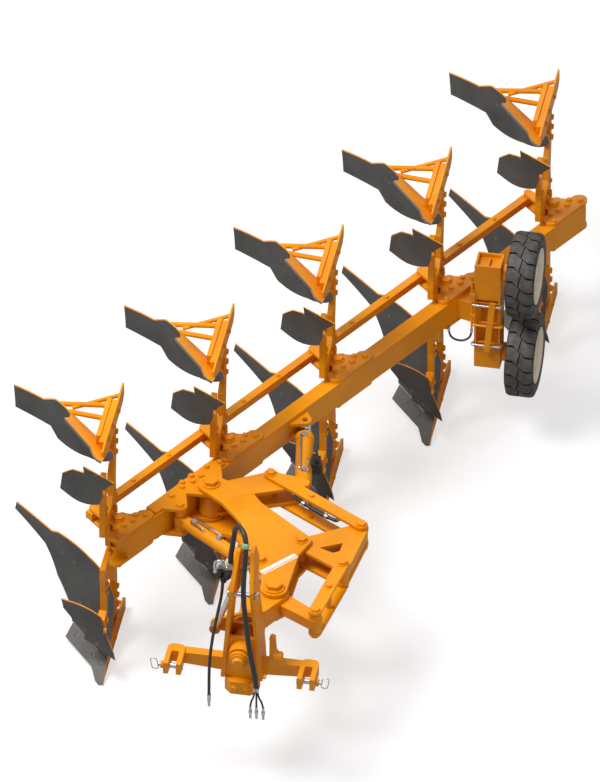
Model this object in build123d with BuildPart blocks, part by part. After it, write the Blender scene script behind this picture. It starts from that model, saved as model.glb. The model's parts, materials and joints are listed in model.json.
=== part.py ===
from build123d import *
import os
from math import atan2, cos, degrees, hypot, pi, radians, sin, sqrt, tan

# Mounted five-furrow reversible mouldboard plough with variable width and an offset linkage.
# Working frame: the turnover axis is the Y axis, the tractor is on the -Y side, Z is up.
# The finished pieces are shifted to the ground point under the middle of the plough.

# ---------------------------------------------------------------- driving dimensions, mm and degrees
FLOOR = -940.0            # share noses and landsides stand here, below the turnover axis
BODY_COUNT = 5
BODY_SPACING = 1079.0     # along the beam
BEAM_ANGLE = 30.45        # beam against the direction of travel
BEAM_START = (-952.0, 992.0)
BEAM_OVERHANG = 151.0      # behind the last leg's pin
BEAM_WIDTH = 100.0
BEAM_HEIGHT = 180.0
BEAM_CHAMFER = 45.0
FIRST_LEG = (84.0, 103.0)  # along and beside the beam
BEAM_LENGTH = FIRST_LEG[0] + (BODY_COUNT - 1) * BODY_SPACING + BEAM_OVERHANG
RUNNING = 0.1             # radial clearance of a pin in its hole
LOOSE = 1.0               # radial clearance where a closed linkage is opened
GAP = 5.0                 # between flat faces that turn past each other

BRACKET_THICK = 22.0
BRACKET_LOW = BEAM_HEIGHT / 2
BRACKET_HIGH = BRACKET_LOW + BRACKET_THICK
PLATE_LOW, PLATE_HIGH = 48.0, 70.0                      # bell-crank and intermediate plate
LINK_LOW = PLATE_HIGH + GAP
LINK_THICK = 20.0
LINK_HIGH = LINK_LOW + LINK_THICK
ARM_THICK = 25.0
ARM_LOW = PLATE_HIGH + GAP                              # main arm plate near the headstock
ARM_RAISED = BRACKET_HIGH + GAP + 1                     # main arm plate over the beam bracket

HEAD_PIVOT = (110.0, 630.0)     # main arm on the turning frame
ARM_LENGTH = (86.0, 502.0)      # head pivot to middle pivot
REACH = (-670.0, 407.0)         # middle pivot to beam pivot
SHORT_OFFSET = (300.0, -175.0)  # short link beside the arm
LONG_OFFSET = (350.0, 230.0)    # long link beside the arm
WIDTH_EYE = (566.0, 209.0)      # width cylinder on the intermediate plate, from the beam pivot
WIDTH_ANCHOR = (1683.0, -100.0)  # its other end, on the beam (along, beside)
OFFSET_EYE = (444.0, -108.0)    # offset cylinder on the front bracket
OFFSET_ANCHOR = (-25.0, 885.0)  # its other end, on the main arm

# ---------------------------------------------------------------- places
angle = radians(BEAM_ANGLE)
ALONG = Vector(sin(angle), cos(angle), 0)
BESIDE = Vector(-cos(angle), sin(angle), 0)


def on_beam(along, beside=0.0, height=0.0):
    """A place from its distances along and beside the beam; beside is positive towards the bodies."""
    return Vector(*BEAM_START, 0) + ALONG * along + BESIDE * beside + Vector(0, 0, height)


def beam_mark(place):
    """The distances along and beside the beam of a plan position."""
    step = Vector(*place, 0) - on_beam(0)
    return (step.dot(ALONG), step.dot(BESIDE))


def shifted(place, step):
    """A plan position moved by a plan step."""
    return (place[0] + step[0], place[1] + step[1])


BEAM_PLANE = Plane(origin=on_beam(0), x_dir=ALONG, z_dir=(0, 0, 1))
MIDDLE_PIVOT = shifted(HEAD_PIVOT, ARM_LENGTH)
BEAM_PIVOT = shifted(MIDDLE_PIVOT, REACH)
SHORT_FRONT = shifted(HEAD_PIVOT, SHORT_OFFSET)
SHORT_REAR = shifted(MIDDLE_PIVOT, SHORT_OFFSET)
LONG_FRONT = shifted(MIDDLE_PIVOT, LONG_OFFSET)
LONG_REAR = shifted(BEAM_PIVOT, LONG_OFFSET)
WIDTH_FRONT = shifted(BEAM_PIVOT, WIDTH_EYE)
WIDTH_REAR = tuple(on_beam(*WIDTH_ANCHOR))[:2]
OFFSET_REAR = tuple(on_beam(*OFFSET_EYE))[:2]
OFFSET_FRONT = OFFSET_ANCHOR
leg_places = [tuple(on_beam(FIRST_LEG[0] + k * BODY_SPACING, FIRST_LEG[1]))[:2] for k in range(BODY_COUNT)]

pieces = {}      # node name: solid, in the working frame
cord_names = []  # nodes of the free hoses


def keep(name, part):
    """Labels a finished piece and stores it under its node name."""
    part.label = name
    pieces[name] = part


# ---------------------------------------------------------------- shared shapes
def wrap(eyes):
    """Outline of a flat link: the tight wrap round its eyes, each (x, y, radius)."""
    with BuildSketch() as outline:
        for x, y, radius in eyes:
            with Locations((x, y)):
                Circle(radius)
        make_hull()
    return outline.sketch


def flat_link(eyes, low, high, bore=0.0):
    """A flat plate between two heights round its eyes, with one bore size."""
    with BuildPart() as link:
        with BuildSketch(Plane.XY.offset(low)):
            add(wrap(eyes))
            if bore:
                with Locations(*[(x, y) for x, y, _ in eyes]):
                    Circle(bore, mode=Mode.SUBTRACT)
        extrude(amount=high - low)
    return link.part


def post(place, radius, low, high, bore=0.0):
    """An upright round post or tube."""
    with BuildPart() as tube:
        with BuildSketch(Plane.XY.offset(low)):
            with Locations((place[0], place[1])):
                Circle(radius)
                if bore:
                    Circle(bore, mode=Mode.SUBTRACT)
        extrude(amount=high - low)
    return tube.part


def block(xs, ys, zs):
    """A box from its lowest and highest x, y and z."""
    with BuildPart() as box:
        with Locations(((xs[0] + xs[1]) / 2, (ys[0] + ys[1]) / 2, (zs[0] + zs[1]) / 2)):
            Box(xs[1] - xs[0], ys[1] - ys[0], zs[1] - zs[0])
    return box.part


def rod_between(start, end, radius):
    """A round bar from one point to another."""
    start, end = Vector(start), Vector(end)
    with BuildPart() as bar:
        with BuildSketch(Plane(origin=start, z_dir=end - start)):
            Circle(radius)
        extrude(amount=(end - start).length)
    return bar.part


def pivot_pin(place, radius, reach):
    """An upright pin with a washer and a six-sided head outside each plate it holds."""
    washer, head = radius * 0.25, radius * 0.7
    with BuildPart() as pin:
        with BuildSketch(Plane.XY):
            with Locations((place[0], place[1])):
                Circle(radius)
        extrude(amount=reach)
        with BuildSketch(Plane.XY.offset(reach)):
            with Locations((place[0], place[1])):
                Circle(radius * 1.75)
        extrude(amount=washer)
        with BuildSketch(Plane.XY.offset(reach + washer)):
            with Locations((place[0], place[1])):
                RegularPolygon(radius * 1.4, 6)
        extrude(amount=head)
        mirror(about=Plane.XY)
    return pin.part


def cross_pin(centre, radius, half, head):
    """A level pin along X with a collar at each end."""
    with BuildPart() as pin:
        with BuildSketch(Plane.YZ.offset(centre[0] - half)):
            with Locations(centre[1:]):
                Circle(radius)
        extrude(amount=2 * half)
        for x, way in ((centre[0] - half, -1), (centre[0] + half, 1)):
            with BuildSketch(Plane.YZ.offset(x)):
                with Locations(centre[1:]):
                    Circle(radius * 1.5)
            extrude(amount=way * head)
    return pin.part


# ================================================================ plough bodies
# Body frame: the share tip is at x = 0, y = 0. The furrow wall is on the +x side, the board throws to -x.
LEG_FROM_TIP = (28.0, 472.0)     # leg pivot
LEG_PIN = 25.0
HINGE_RADIUS = 46.0
HINGE_HALF = 86.0
BAR_PIN_FROM_LEG = (-197.0, 163.0)
BAR_PIN = 15.0
LEG_FACES = (-53.0, -17.0)       # x of the leg plate's sides
BOARD_BACK = 14.0                # board thickness, measured along y
BOARD_FAR = -820.0
SHARE_THICK = 14.0
SHARE_RISE = 33.0                # slope of the share, degrees
SHARE_SWEEP = 40.05              # cutting edge against the direction of travel, degrees
SEAM_TOP = -850.0                # joint of share and board
STRIP_TOP = -815.0               # where the share's slope turns into the board's curve
LANDSIDE = (-14.0, -2.0)         # x of the landside bar's faces
FROG = (-83.0, -53.0)            # x of the frog plate's faces
SKIM_BACK = 11.0

# board surface where it starts (x = 0) and where it ends: seam, start of curve, middle and top, each (y, z)
SHIN_CURVE = [(190.0, SEAM_TOP), (271.0, STRIP_TOP), (480.5, -600.0), (510.0, -380.0)]
TAIL_CURVE = [(1166.0, SEAM_TOP), (1181.0, STRIP_TOP), (1234.0, -650.0), (1150.0, -380.0)]
# skimmer surface at its nose and tail: bottom, middle and top, each (y, z)
SKIM_NOSE_X, SKIM_TAIL_X = 90.0, -340.0
SKIM_NOSE = [(52.0, -745.0), (102.0, -600.0), (94.0, -420.0)]
SKIM_TAIL = [(336.0, -745.0), (343.0, -600.0), (272.0, -420.0)]


def curved_sheet(near_x, near, far_x, far, back):
    """A sheet ruled between two upright curves; each curve is an arc, after a straight start if it has 4 points."""
    with BuildPart() as sheet:
        for x, curve in ((near_x, near), (far_x, far)):
            with BuildSketch(Plane.YZ.offset(x)):
                with BuildLine():
                    front = [Vector(*p) for p in curve]
                    behind = [p + Vector(back, 0) for p in front]
                    for side in (front, behind):
                        if len(side) == 4:
                            Line(side[0], side[1])
                        ThreePointArc(*side[-3:])
                    Line(front[0], behind[0])
                    Line(front[-1], behind[-1])
                make_face()
        loft(ruled=True)
    return sheet.part


def trimmed(sheet, outline):
    """A sheet cut to an outline seen from the front."""
    with BuildPart() as board:
        add(sheet)
        with BuildSketch(Plane.XZ):
            add(outline)
        extrude(amount=2000, both=True, mode=Mode.INTERSECT)
    return board.part


with BuildSketch() as board_outline:
    with BuildLine():
        Polyline((-300, SEAM_TOP), (0, SEAM_TOP), (-5, -600))
        ThreePointArc((-5, -600), (-66, -497), (-208, -420))
        ThreePointArc((-208, -420), (-335, -389), (-447, -395))
        Polyline((-447, -395), (-505, -440), (-775, -398), (-800, -513), (-560, -598))
        ThreePointArc((-560, -598), (-508, -655), (-452, -728))
        Polyline((-452, -728), (-320, -811), (-300, SEAM_TOP))
    make_face()

with BuildSketch() as skimmer_outline:
    with BuildLine():
        Polyline((-150, -655), (-155, -716), (78, -736), (62, -700), (-10, -590), (-34, -470))
        ThreePointArc((-34, -470), (-130, -436), (-235, -440))
        Polyline((-235, -440), (-318, -462), (-310, -560), (-235, -630), (-150, -655))
    make_face()

board_sheet = curved_sheet(0, SHIN_CURVE, BOARD_FAR, TAIL_CURVE, BOARD_BACK)
board_shape = trimmed(board_sheet, board_outline.sketch)
skimmer_sheet = curved_sheet(SKIM_NOSE_X, SKIM_NOSE, SKIM_TAIL_X, SKIM_TAIL, SKIM_BACK)
skimmer_shape = trimmed(skimmer_sheet, skimmer_outline.sketch)

# ---------------------------------------------------------------- share
share_rise = radians(SHARE_RISE)
share_sweep = radians(SHARE_SWEEP)
EDGE = Vector(-sin(share_sweep), cos(share_sweep), 0)          # along the cutting edge
UP_SLOPE = Vector(cos(share_sweep) * cos(share_rise), sin(share_sweep) * cos(share_rise), sin(share_rise))
SHARE_TOP = FLOOR + SHARE_THICK * cos(share_rise)              # top face at the nose; its underside is on the floor
SHARE_PLANE = Plane(origin=(0, 0, SHARE_TOP), x_dir=EDGE, z_dir=EDGE.cross(UP_SLOPE))
if SHARE_PLANE.z_dir.Z < 0:
    SHARE_PLANE = Plane(origin=(0, 0, SHARE_TOP), x_dir=EDGE, z_dir=UP_SLOPE.cross(EDGE))
slope_sign = 1 if SHARE_PLANE.y_dir.Z > 0 else -1
SHARE_DEPTH = (SEAM_TOP - SHARE_TOP) / sin(share_rise)         # nose to seam, up the slope
wall_run = SHARE_DEPTH * cos(share_rise) / tan(share_sweep)    # where the seam meets the furrow wall
SHARE_NOSE, NOSE_RUN, NOSE_STEP, SHARE_LENGTH, WING_RUN = 50.0, 87.0, 45.0, 548.0, 45.0

with BuildPart() as share:
    with BuildSketch(SHARE_PLANE):
        with BuildLine():
            corners = [
                (24, 24), (SHARE_NOSE, 0), (NOSE_RUN, 0), (200, NOSE_STEP), (SHARE_LENGTH, NOSE_STEP),
                (SHARE_LENGTH + WING_RUN, SHARE_DEPTH), (wall_run, SHARE_DEPTH),
            ]
            Polyline(*[(u, v * slope_sign) for u, v in corners], close=True)
        make_face()
    extrude(amount=-SHARE_THICK)
share_shape = share.part

# space in front of the board's back and above the share's underside, kept clear by what carries them
with BuildPart() as board_space:
    for x, curve in ((0, SHIN_CURVE), (BOARD_FAR, TAIL_CURVE)):
        with BuildSketch(Plane.YZ.offset(x)):
            with BuildLine():
                back = [Vector(*p) + Vector(BOARD_BACK, 0) for p in curve]
                Line(back[0], back[1])
                ThreePointArc(*back[1:])
                Polyline(back[-1], back[-1] - (900, 0), (back[-1].X - 900, back[0].Y), back[0])
            make_face()
    loft(ruled=True)
with BuildPart() as share_space:
    with BuildSketch(SHARE_PLANE.offset(-SHARE_THICK)):
        with Locations((SHARE_LENGTH / 2, SHARE_DEPTH / 2 * slope_sign)):
            Rectangle(1400, SHARE_DEPTH)
    extrude(amount=250)

# ---------------------------------------------------------------- frog, landside and braces
FROG_POST = (FROG[1], LANDSIDE[0])
BRACE = 17.0
with BuildPart() as frog:
    with BuildSketch(Plane.YZ.offset(FROG[0])):
        Polygon((300, -925), (300, -840), (560, -600), (655, -600), (690, -830), (690, -925), align=None)
    extrude(amount=FROG[1] - FROG[0])
    with BuildSketch(Plane.YZ.offset(FROG[1])):
        Polygon((250, -915), (250, -860), (380, -825), (690, -825), (690, -915), align=None)
    extrude(amount=LANDSIDE[0] - FROG[1])
    with BuildSketch(Plane.YZ.offset(LANDSIDE[0])):
        Polygon((120, FLOOR), (120, -885), (300, -800), (800, -815), (842, -850), (842, FLOOR), align=None)
    extrude(amount=LANDSIDE[1] - LANDSIDE[0])
    add(rod_between((-70, 640, -790), (-440, 850, -645), BRACE))
    add(rod_between((-70, 668, -880), (-530, 955, -600), BRACE))
    add(board_space.part, mode=Mode.SUBTRACT)
    add(share_space.part, mode=Mode.SUBTRACT)
frog_shape = frog.part

# ---------------------------------------------------------------- leg carrier: hinge, legs and skimmer stalks
LEG_FOOT = -825.0
BAR_CENTRE = (LEG_FROM_TIP[0] + BAR_PIN_FROM_LEG[0], LEG_FROM_TIP[1] + BAR_PIN_FROM_LEG[1])
FORK = (34.0, 52.0)
with BuildPart() as carrier:
    with BuildSketch(Plane.YZ.offset(LEG_FACES[0])):
        with BuildLine():
            Polyline(
                (422, 0), (422, -HINGE_HALF), (536, -HINGE_HALF), (536, -136), (232, -136), (232, -220),
                (246, -330), (246, -614), (314, -614), (314, -330), (350, -218), (470, -218), (513, -262),
                (513, -440), (575, -495), (575, LEG_FOOT), (645, LEG_FOOT), (645, -500), (618, -300),
                (640, -180), (640, 0),
                close=True,
            )
        make_face()
    extrude(amount=LEG_FACES[1] - LEG_FACES[0])
    add(post(LEG_FROM_TIP, HINGE_RADIUS, -HINGE_HALF, 0))
    add(flat_link([(*LEG_FROM_TIP, HINGE_RADIUS), (*BAR_CENTRE, 28)], -FORK[1], -FORK[0]))
    mirror(about=Plane.XY)
    with BuildSketch(Plane.XY.offset(-HINGE_HALF)):
        with Locations(LEG_FROM_TIP):
            Circle(LEG_PIN + RUNNING)
    extrude(amount=2 * HINGE_HALF, mode=Mode.SUBTRACT)
    with BuildSketch(Plane.XY.offset(-FORK[1])):
        with Locations(BAR_CENTRE):
            Circle(BAR_PIN)
    extrude(amount=2 * FORK[1])
carrier_shape = carrier.part

# ---------------------------------------------------------------- skimmer bracket
with BuildPart() as skimmer_space:
    for x, curve in ((SKIM_NOSE_X, SKIM_NOSE), (SKIM_TAIL_X, SKIM_TAIL)):
        with BuildSketch(Plane.YZ.offset(x)):
            with BuildLine():
                back = [Vector(*p) + Vector(SKIM_BACK, 0) for p in curve]
                ThreePointArc(*back)
                Polyline(back[-1], back[-1] - (500, 0), (back[-1].X - 500, back[0].Y), back[0])
            make_face()
    loft(ruled=True)
with BuildPart() as skimmer_bracket:
    with BuildSketch(Plane.YZ.offset(LEG_FACES[0] - 6)):
        Polygon((100, -650), (246, -612), (246, -480), (100, -520), align=None)
    extrude(amount=LEG_FACES[1] - LEG_FACES[0] + 12)
    add(skimmer_space.part, mode=Mode.SUBTRACT)

for k, leg in enumerate(leg_places):
    at_tip = Location((leg[0] - LEG_FROM_TIP[0], leg[1] - LEG_FROM_TIP[1], 0))
    sets = {
        "leg_carrier": ([carrier_shape], False),
        "mouldboards": ([board_shape, skimmer_shape], True),
        "shares": ([share_shape], True),
        "frogs": ([frog_shape, skimmer_bracket.part], True),
    }
    for name, (shapes, both) in sets.items():
        with BuildPart() as group:
            for shape in shapes:
                add(shape)
            if both:
                mirror(about=Plane.XY)
        keep(f"{name}_{k + 1}", group.part.moved(at_tip))

# ================================================================ beam
with BuildPart() as beam:
    with BuildSketch(Plane(origin=on_beam(0), x_dir=BESIDE, z_dir=ALONG)):
        Rectangle(BEAM_WIDTH, BEAM_HEIGHT)
    extrude(amount=BEAM_LENGTH)
    rear_low = beam.faces().sort_by(Axis(tuple(on_beam(0)), tuple(ALONG)))[-1].edges().sort_by(Axis.Z)[0]
    chamfer(rear_low, BEAM_CHAMFER)
keep("beam", beam.part)

leg_marks = [(FIRST_LEG[0] + k * BODY_SPACING, FIRST_LEG[1]) for k in range(BODY_COUNT)]
TIP_RADIUS = 60.0
HALF_WIDE = BEAM_WIDTH / 2 - 4
LOBE_HOLLOW = (130.0, 72.0)
LOBE_REACH = (-144.0, 150.0)     # foremost and rearmost lobe along the beam, from the leg's pin
with BuildPart() as body_brackets:
    with BuildSketch(BEAM_PLANE.offset(BRACKET_LOW)):
        for s, u in leg_marks:
            with BuildSketch(mode=Mode.PRIVATE) as bracket_face:
                with Locations((s, u)):
                    Circle(TIP_RADIUS)
                with Locations((s + LOBE_REACH[0], 0), (s + LOBE_REACH[1], 0)):
                    Circle(HALF_WIDE)
                make_hull()
                with Locations((s - LOBE_HOLLOW[0], u + 24), (s + LOBE_HOLLOW[0] + 12, u + 24)):
                    Circle(LOBE_HOLLOW[1], mode=Mode.SUBTRACT)
                with Locations((s, u)):
                    Circle(LEG_PIN + RUNNING, mode=Mode.SUBTRACT)
            add(bracket_face.sketch)
    extrude(amount=BRACKET_THICK)
    mirror(about=Plane.XY)
keep("body_brackets", body_brackets.part)

with BuildPart() as leg_pins:
    for place in leg_places:
        add(pivot_pin(place, LEG_PIN, BRACKET_HIGH))
keep("leg_pins", leg_pins.part)

# ---------------------------------------------------------------- front bracket: beam pivot and offset cylinder
BEAM_PIN, MIDDLE_PIN, LINK_PIN, EYE_PIN = 35.0, 25.0, 22.0, 20.0
PIVOT_MARK = beam_mark(BEAM_PIVOT)
BRACKET_APART = 13.0             # between this bracket and the one behind it
BRACKET_FRONT = FIRST_LEG[0] + LOBE_REACH[1] + HALF_WIDE + 8
BRACKET_REAR = FIRST_LEG[0] + BODY_SPACING + LOBE_REACH[0] - HALF_WIDE - BRACKET_APART
with BuildPart() as front_bracket:
    with BuildSketch(BEAM_PLANE.offset(BRACKET_LOW)):
        add(wrap([(*PIVOT_MARK, 82), (BRACKET_REAR - 55, 0, 40), (560, 10, 34)]))
        add(wrap([(*OFFSET_EYE, 46), (560, -8, 36), (370, 0, 40)]))
        with Locations(((BRACKET_FRONT + BRACKET_REAR) / 2, 4)):
            Rectangle(BRACKET_REAR - BRACKET_FRONT, 2 * HALF_WIDE - 8)
        with Locations(PIVOT_MARK):
            Circle(BEAM_PIN + RUNNING, mode=Mode.SUBTRACT)
        with Locations(OFFSET_EYE):
            Circle(EYE_PIN, mode=Mode.SUBTRACT)
    extrude(amount=BRACKET_THICK)
    with BuildSketch(BEAM_PLANE.offset(38)):
        with Locations(OFFSET_EYE):
            Circle(36)
            Circle(EYE_PIN, mode=Mode.SUBTRACT)
    extrude(amount=BRACKET_LOW - 38)
    mirror(about=Plane.XY)
keep("front_bracket", front_bracket.part)

EYE_HALF = 32.0
with BuildPart() as cylinder_bracket:
    with BuildSketch(BEAM_PLANE.offset(EYE_HALF + GAP)):
        with Locations(WIDTH_ANCHOR):
            Circle(42)
        with Locations((WIDTH_ANCHOR[0] - 15, -BEAM_WIDTH / 2 - 6)):
            Rectangle(170, 12)
        make_hull()
        with Locations(WIDTH_ANCHOR):
            Circle(EYE_PIN, mode=Mode.SUBTRACT)
    extrude(amount=24)
    mirror(about=Plane.XY)
keep("cylinder_bracket", cylinder_bracket.part)

with BuildPart() as beam_pins:
    add(pivot_pin(OFFSET_REAR, EYE_PIN, BRACKET_HIGH))
keep("beam_pins", beam_pins.part)

# ---------------------------------------------------------------- control bar
BAR_SIZE = 54.0
bar_marks = [shifted(leg, BAR_PIN_FROM_LEG) for leg in leg_places]
bar_length = BODY_SPACING * (BODY_COUNT - 1)
with BuildPart() as control_bar:
    with BuildSketch(Plane(origin=(*bar_marks[0], 0), x_dir=ALONG, z_dir=(0, 0, 1)).offset(-BAR_SIZE / 2)):
        with Locations((bar_length / 2, 0)):
            Rectangle(bar_length + 90, BAR_SIZE)
    extrude(amount=BAR_SIZE)
    with BuildSketch(Plane.XY.offset(-BAR_SIZE / 2)):
        with Locations(bar_marks[0]):
            Circle(BAR_PIN + RUNNING)
        with Locations(*bar_marks[1:]):
            Circle(BAR_PIN + LOOSE)
    extrude(amount=BAR_SIZE, mode=Mode.SUBTRACT)
keep("control_bar", control_bar.part)

# ---------------------------------------------------------------- wheel support and wheels
WHEEL_PLACE = (1185.0, 3798.0)
WHEEL_HEIGHT = 330.0
TYRE_RADIUS, TYRE_WIDTH, RIM_RADIUS = 283.0, 190.0, 176.0
COLUMN_X, COLUMN_Y, COLUMN_HALF, COLUMN_WALL = (862.0, 1034.0), (3722.0, 3872.0), 420.0, 14.0
AXLE_RADIUS = 30.0
COLUMN_OPEN, COLUMN_BARS = (262.0, 142.0), (105.0, -60.0, -225.0)
PIPE_PLACE, PIPE_SPAN, PIPE_CLIPS = (848.0, 3706.0), (-95.0, 261.0), (190.0, 20.0)
with BuildPart() as wheel_support:
    add(block(COLUMN_X, COLUMN_Y, (-COLUMN_HALF, COLUMN_HALF)))
    add(block((COLUMN_X[0] + COLUMN_WALL, COLUMN_X[1] - COLUMN_WALL), (COLUMN_Y[0] - 1, COLUMN_Y[0] + 60),
              (-COLUMN_OPEN[0], COLUMN_OPEN[1])), mode=Mode.SUBTRACT)
    add(rod_between((*PIPE_PLACE, PIPE_SPAN[0]), (*PIPE_PLACE, PIPE_SPAN[1]), 7))
    for height in PIPE_CLIPS:
        add(block((PIPE_PLACE[0] - 10, COLUMN_X[0] + 8), (PIPE_PLACE[1] - 10, COLUMN_Y[0] + 8), (height - 10, height + 10)))
    for height in COLUMN_BARS:
        add(rod_between((COLUMN_X[0] - 8, COLUMN_Y[0] + 18, height), (COLUMN_X[1] + 8, COLUMN_Y[0] + 18, height), 9))
    add(block((COLUMN_X[0] + COLUMN_WALL, COLUMN_X[1] - COLUMN_WALL),
              (COLUMN_Y[0] + COLUMN_WALL, COLUMN_Y[1] - COLUMN_WALL),
              (WHEEL_HEIGHT + 60, COLUMN_HALF)), mode=Mode.SUBTRACT)
    add(block((COLUMN_X[0] + COLUMN_WALL, COLUMN_X[1] - COLUMN_WALL),
              (COLUMN_Y[0] + COLUMN_WALL, COLUMN_Y[1] - COLUMN_WALL),
              (-COLUMN_HALF, -WHEEL_HEIGHT - 60)), mode=Mode.SUBTRACT)
    with BuildSketch(BEAM_PLANE.offset(-75)):
        with BuildLine():
            Polyline((3255, -BEAM_WIDTH / 2), (3475, -BEAM_WIDTH / 2), (3430, -200), (3300, -200), close=True)
        make_face()
    extrude(amount=150)
    for side in (-1, 1):
        with BuildSketch(Plane.YZ.offset(COLUMN_X[1])):
            with Locations((WHEEL_PLACE[1], side * WHEEL_HEIGHT)):
                Circle(AXLE_RADIUS)
        extrude(amount=WHEEL_PLACE[0] + 30 - COLUMN_X[1])
        with BuildSketch(Plane.YZ.offset(COLUMN_X[1])):
            with Locations((WHEEL_PLACE[1], side * WHEEL_HEIGHT)):
                Circle(62)
        extrude(amount=30)
keep("wheel_support", wheel_support.part)

half = TYRE_WIDTH / 2
with BuildPart() as tyre:
    with BuildSketch(Plane.XY):
        with BuildLine():
            Polyline(
                (-half + 22, RIM_RADIUS), (-half + 4, RIM_RADIUS + 14), (-half, RIM_RADIUS + 60),
                (-half + 6, TYRE_RADIUS - 16), (-half + 24, TYRE_RADIUS), (half - 24, TYRE_RADIUS),
                (half - 6, TYRE_RADIUS - 16), (half, RIM_RADIUS + 60), (half - 4, RIM_RADIUS + 14),
                (half - 22, RIM_RADIUS), close=True,
            )
        make_face()
    revolve(axis=Axis.X)
with BuildPart() as rim:
    with BuildSketch(Plane.XY):
        with BuildLine():
            Polyline(
                (-half + 4, RIM_RADIUS + 12), (-half + 22, RIM_RADIUS - 0.3), (half - 22, RIM_RADIUS - 0.3),
                (half - 4, RIM_RADIUS + 12), (half - 4, RIM_RADIUS + 4), (half - 26, RIM_RADIUS - 12),
                (20, RIM_RADIUS - 18), (6, RIM_RADIUS - 60), (26, 90), (26, 62), (70, 58), (70, 0), (46, 0),
                (46, AXLE_RADIUS + RUNNING), (-80, AXLE_RADIUS + RUNNING), (-80, 56), (0, 62), (14, 90),
                (-6, RIM_RADIUS - 60), (-6, RIM_RADIUS - 14), (-half + 26, RIM_RADIUS - 12),
                (-half + 4, RIM_RADIUS + 4), close=True,
            )
        make_face()
    revolve(axis=Axis.X)
for side, name in ((1, "upper"), (-1, "lower")):
    place = Location((*WHEEL_PLACE, side * WHEEL_HEIGHT))
    keep(f"tyre_{name}", tyre.part.moved(place))
    keep(f"rim_{name}", rim.part.moved(place))

# ================================================================ offset linkage
HOLE = BEAM_PIN + RUNNING
with BuildPart() as intermediate:
    add(flat_link([(*BEAM_PIVOT, 78), (*LONG_REAR, 48), (*WIDTH_FRONT, 44)], PLATE_LOW, PLATE_HIGH))
    add(post(BEAM_PIVOT, 75, 0, HINGE_HALF))
    add(post(LONG_REAR, 42, 0, PLATE_HIGH))
    with BuildSketch(Plane(origin=(*BEAM_PIVOT, 0), x_dir=Vector(*WIDTH_EYE, 0), z_dir=(0, 0, 1))):
        with Locations((240, 22)):
            Rectangle(330, 24)
    extrude(amount=PLATE_LOW)
    mirror(about=Plane.XY)
    for place, radius in ((BEAM_PIVOT, HOLE), (LONG_REAR, LINK_PIN), (WIDTH_FRONT, LEG_PIN)):
        add(post(place, radius, -200, 200), mode=Mode.SUBTRACT)
keep("intermediate_plate", intermediate.part)

with BuildPart() as intermediate_pins:
    add(post(WIDTH_FRONT, LEG_PIN, -PLATE_HIGH, PLATE_HIGH))
    add(pivot_pin(LONG_REAR, LINK_PIN, LINK_HIGH))
keep("intermediate_pins", intermediate_pins.part)

with BuildPart() as bell_crank:
    add(flat_link([(*MIDDLE_PIVOT, 52), (*SHORT_REAR, 44), (*LONG_FRONT, 46)], PLATE_LOW, PLATE_HIGH))
    add(post(MIDDLE_PIVOT, 48, 0, PLATE_HIGH))
    add(post(SHORT_REAR, 40, 0, PLATE_HIGH))
    add(post(LONG_FRONT, 42, 0, PLATE_HIGH))
    with BuildSketch(Plane.XY):
        add(wrap([(SHORT_REAR[0] + 26, SHORT_REAR[1] + 15, 10), (LONG_FRONT[0] + 26, LONG_FRONT[1] - 15, 10)]))
    extrude(amount=PLATE_LOW)
    window = [(MIDDLE_PIVOT[0] + x, MIDDLE_PIVOT[1] + y) for x, y in ((120, -20), (262, 55), (255, -30), (215, -55))]
    with BuildSketch(Plane.XY.offset(PLATE_LOW)):
        Polygon(*window, align=None)
    extrude(amount=PLATE_HIGH - PLATE_LOW, mode=Mode.SUBTRACT)
    mirror(about=Plane.XY)
    for place, radius in ((MIDDLE_PIVOT, MIDDLE_PIN), (SHORT_REAR, LINK_PIN), (LONG_FRONT, LINK_PIN)):
        add(post(place, radius + RUNNING, -200, 200), mode=Mode.SUBTRACT)
keep("bell_crank", bell_crank.part)


def double_link(front, rear, spacer_at):
    """Two bars, one above and one below, held apart by a spacer tube."""
    spacer = (front[0] + (rear[0] - front[0]) * spacer_at, front[1] + (rear[1] - front[1]) * spacer_at)
    with BuildPart() as link:
        add(flat_link([(*front, 42), (*rear, 42)], LINK_LOW, LINK_HIGH))
        add(post(spacer, 18, 0, LINK_LOW))
        mirror(about=Plane.XY)
    return link


short_link = double_link(SHORT_FRONT, SHORT_REAR, 0.5)
for place, radius in ((SHORT_FRONT, LINK_PIN + RUNNING), (SHORT_REAR, LINK_PIN + LOOSE)):
    with short_link:
        add(post(place, radius, -200, 200), mode=Mode.SUBTRACT)
keep("short_link", short_link.part)
long_link = double_link(LONG_FRONT, LONG_REAR, 0.55)
for place, radius in ((LONG_FRONT, LINK_PIN + RUNNING), (LONG_REAR, LINK_PIN + LOOSE)):
    with long_link:
        add(post(place, radius, -200, 200), mode=Mode.SUBTRACT)
keep("long_link", long_link.part)

with BuildPart() as crank_pins:
    add(pivot_pin(SHORT_REAR, LINK_PIN, LINK_HIGH))
    add(pivot_pin(LONG_FRONT, LINK_PIN, LINK_HIGH))
keep("bell_crank_pins", crank_pins.part)

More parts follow.
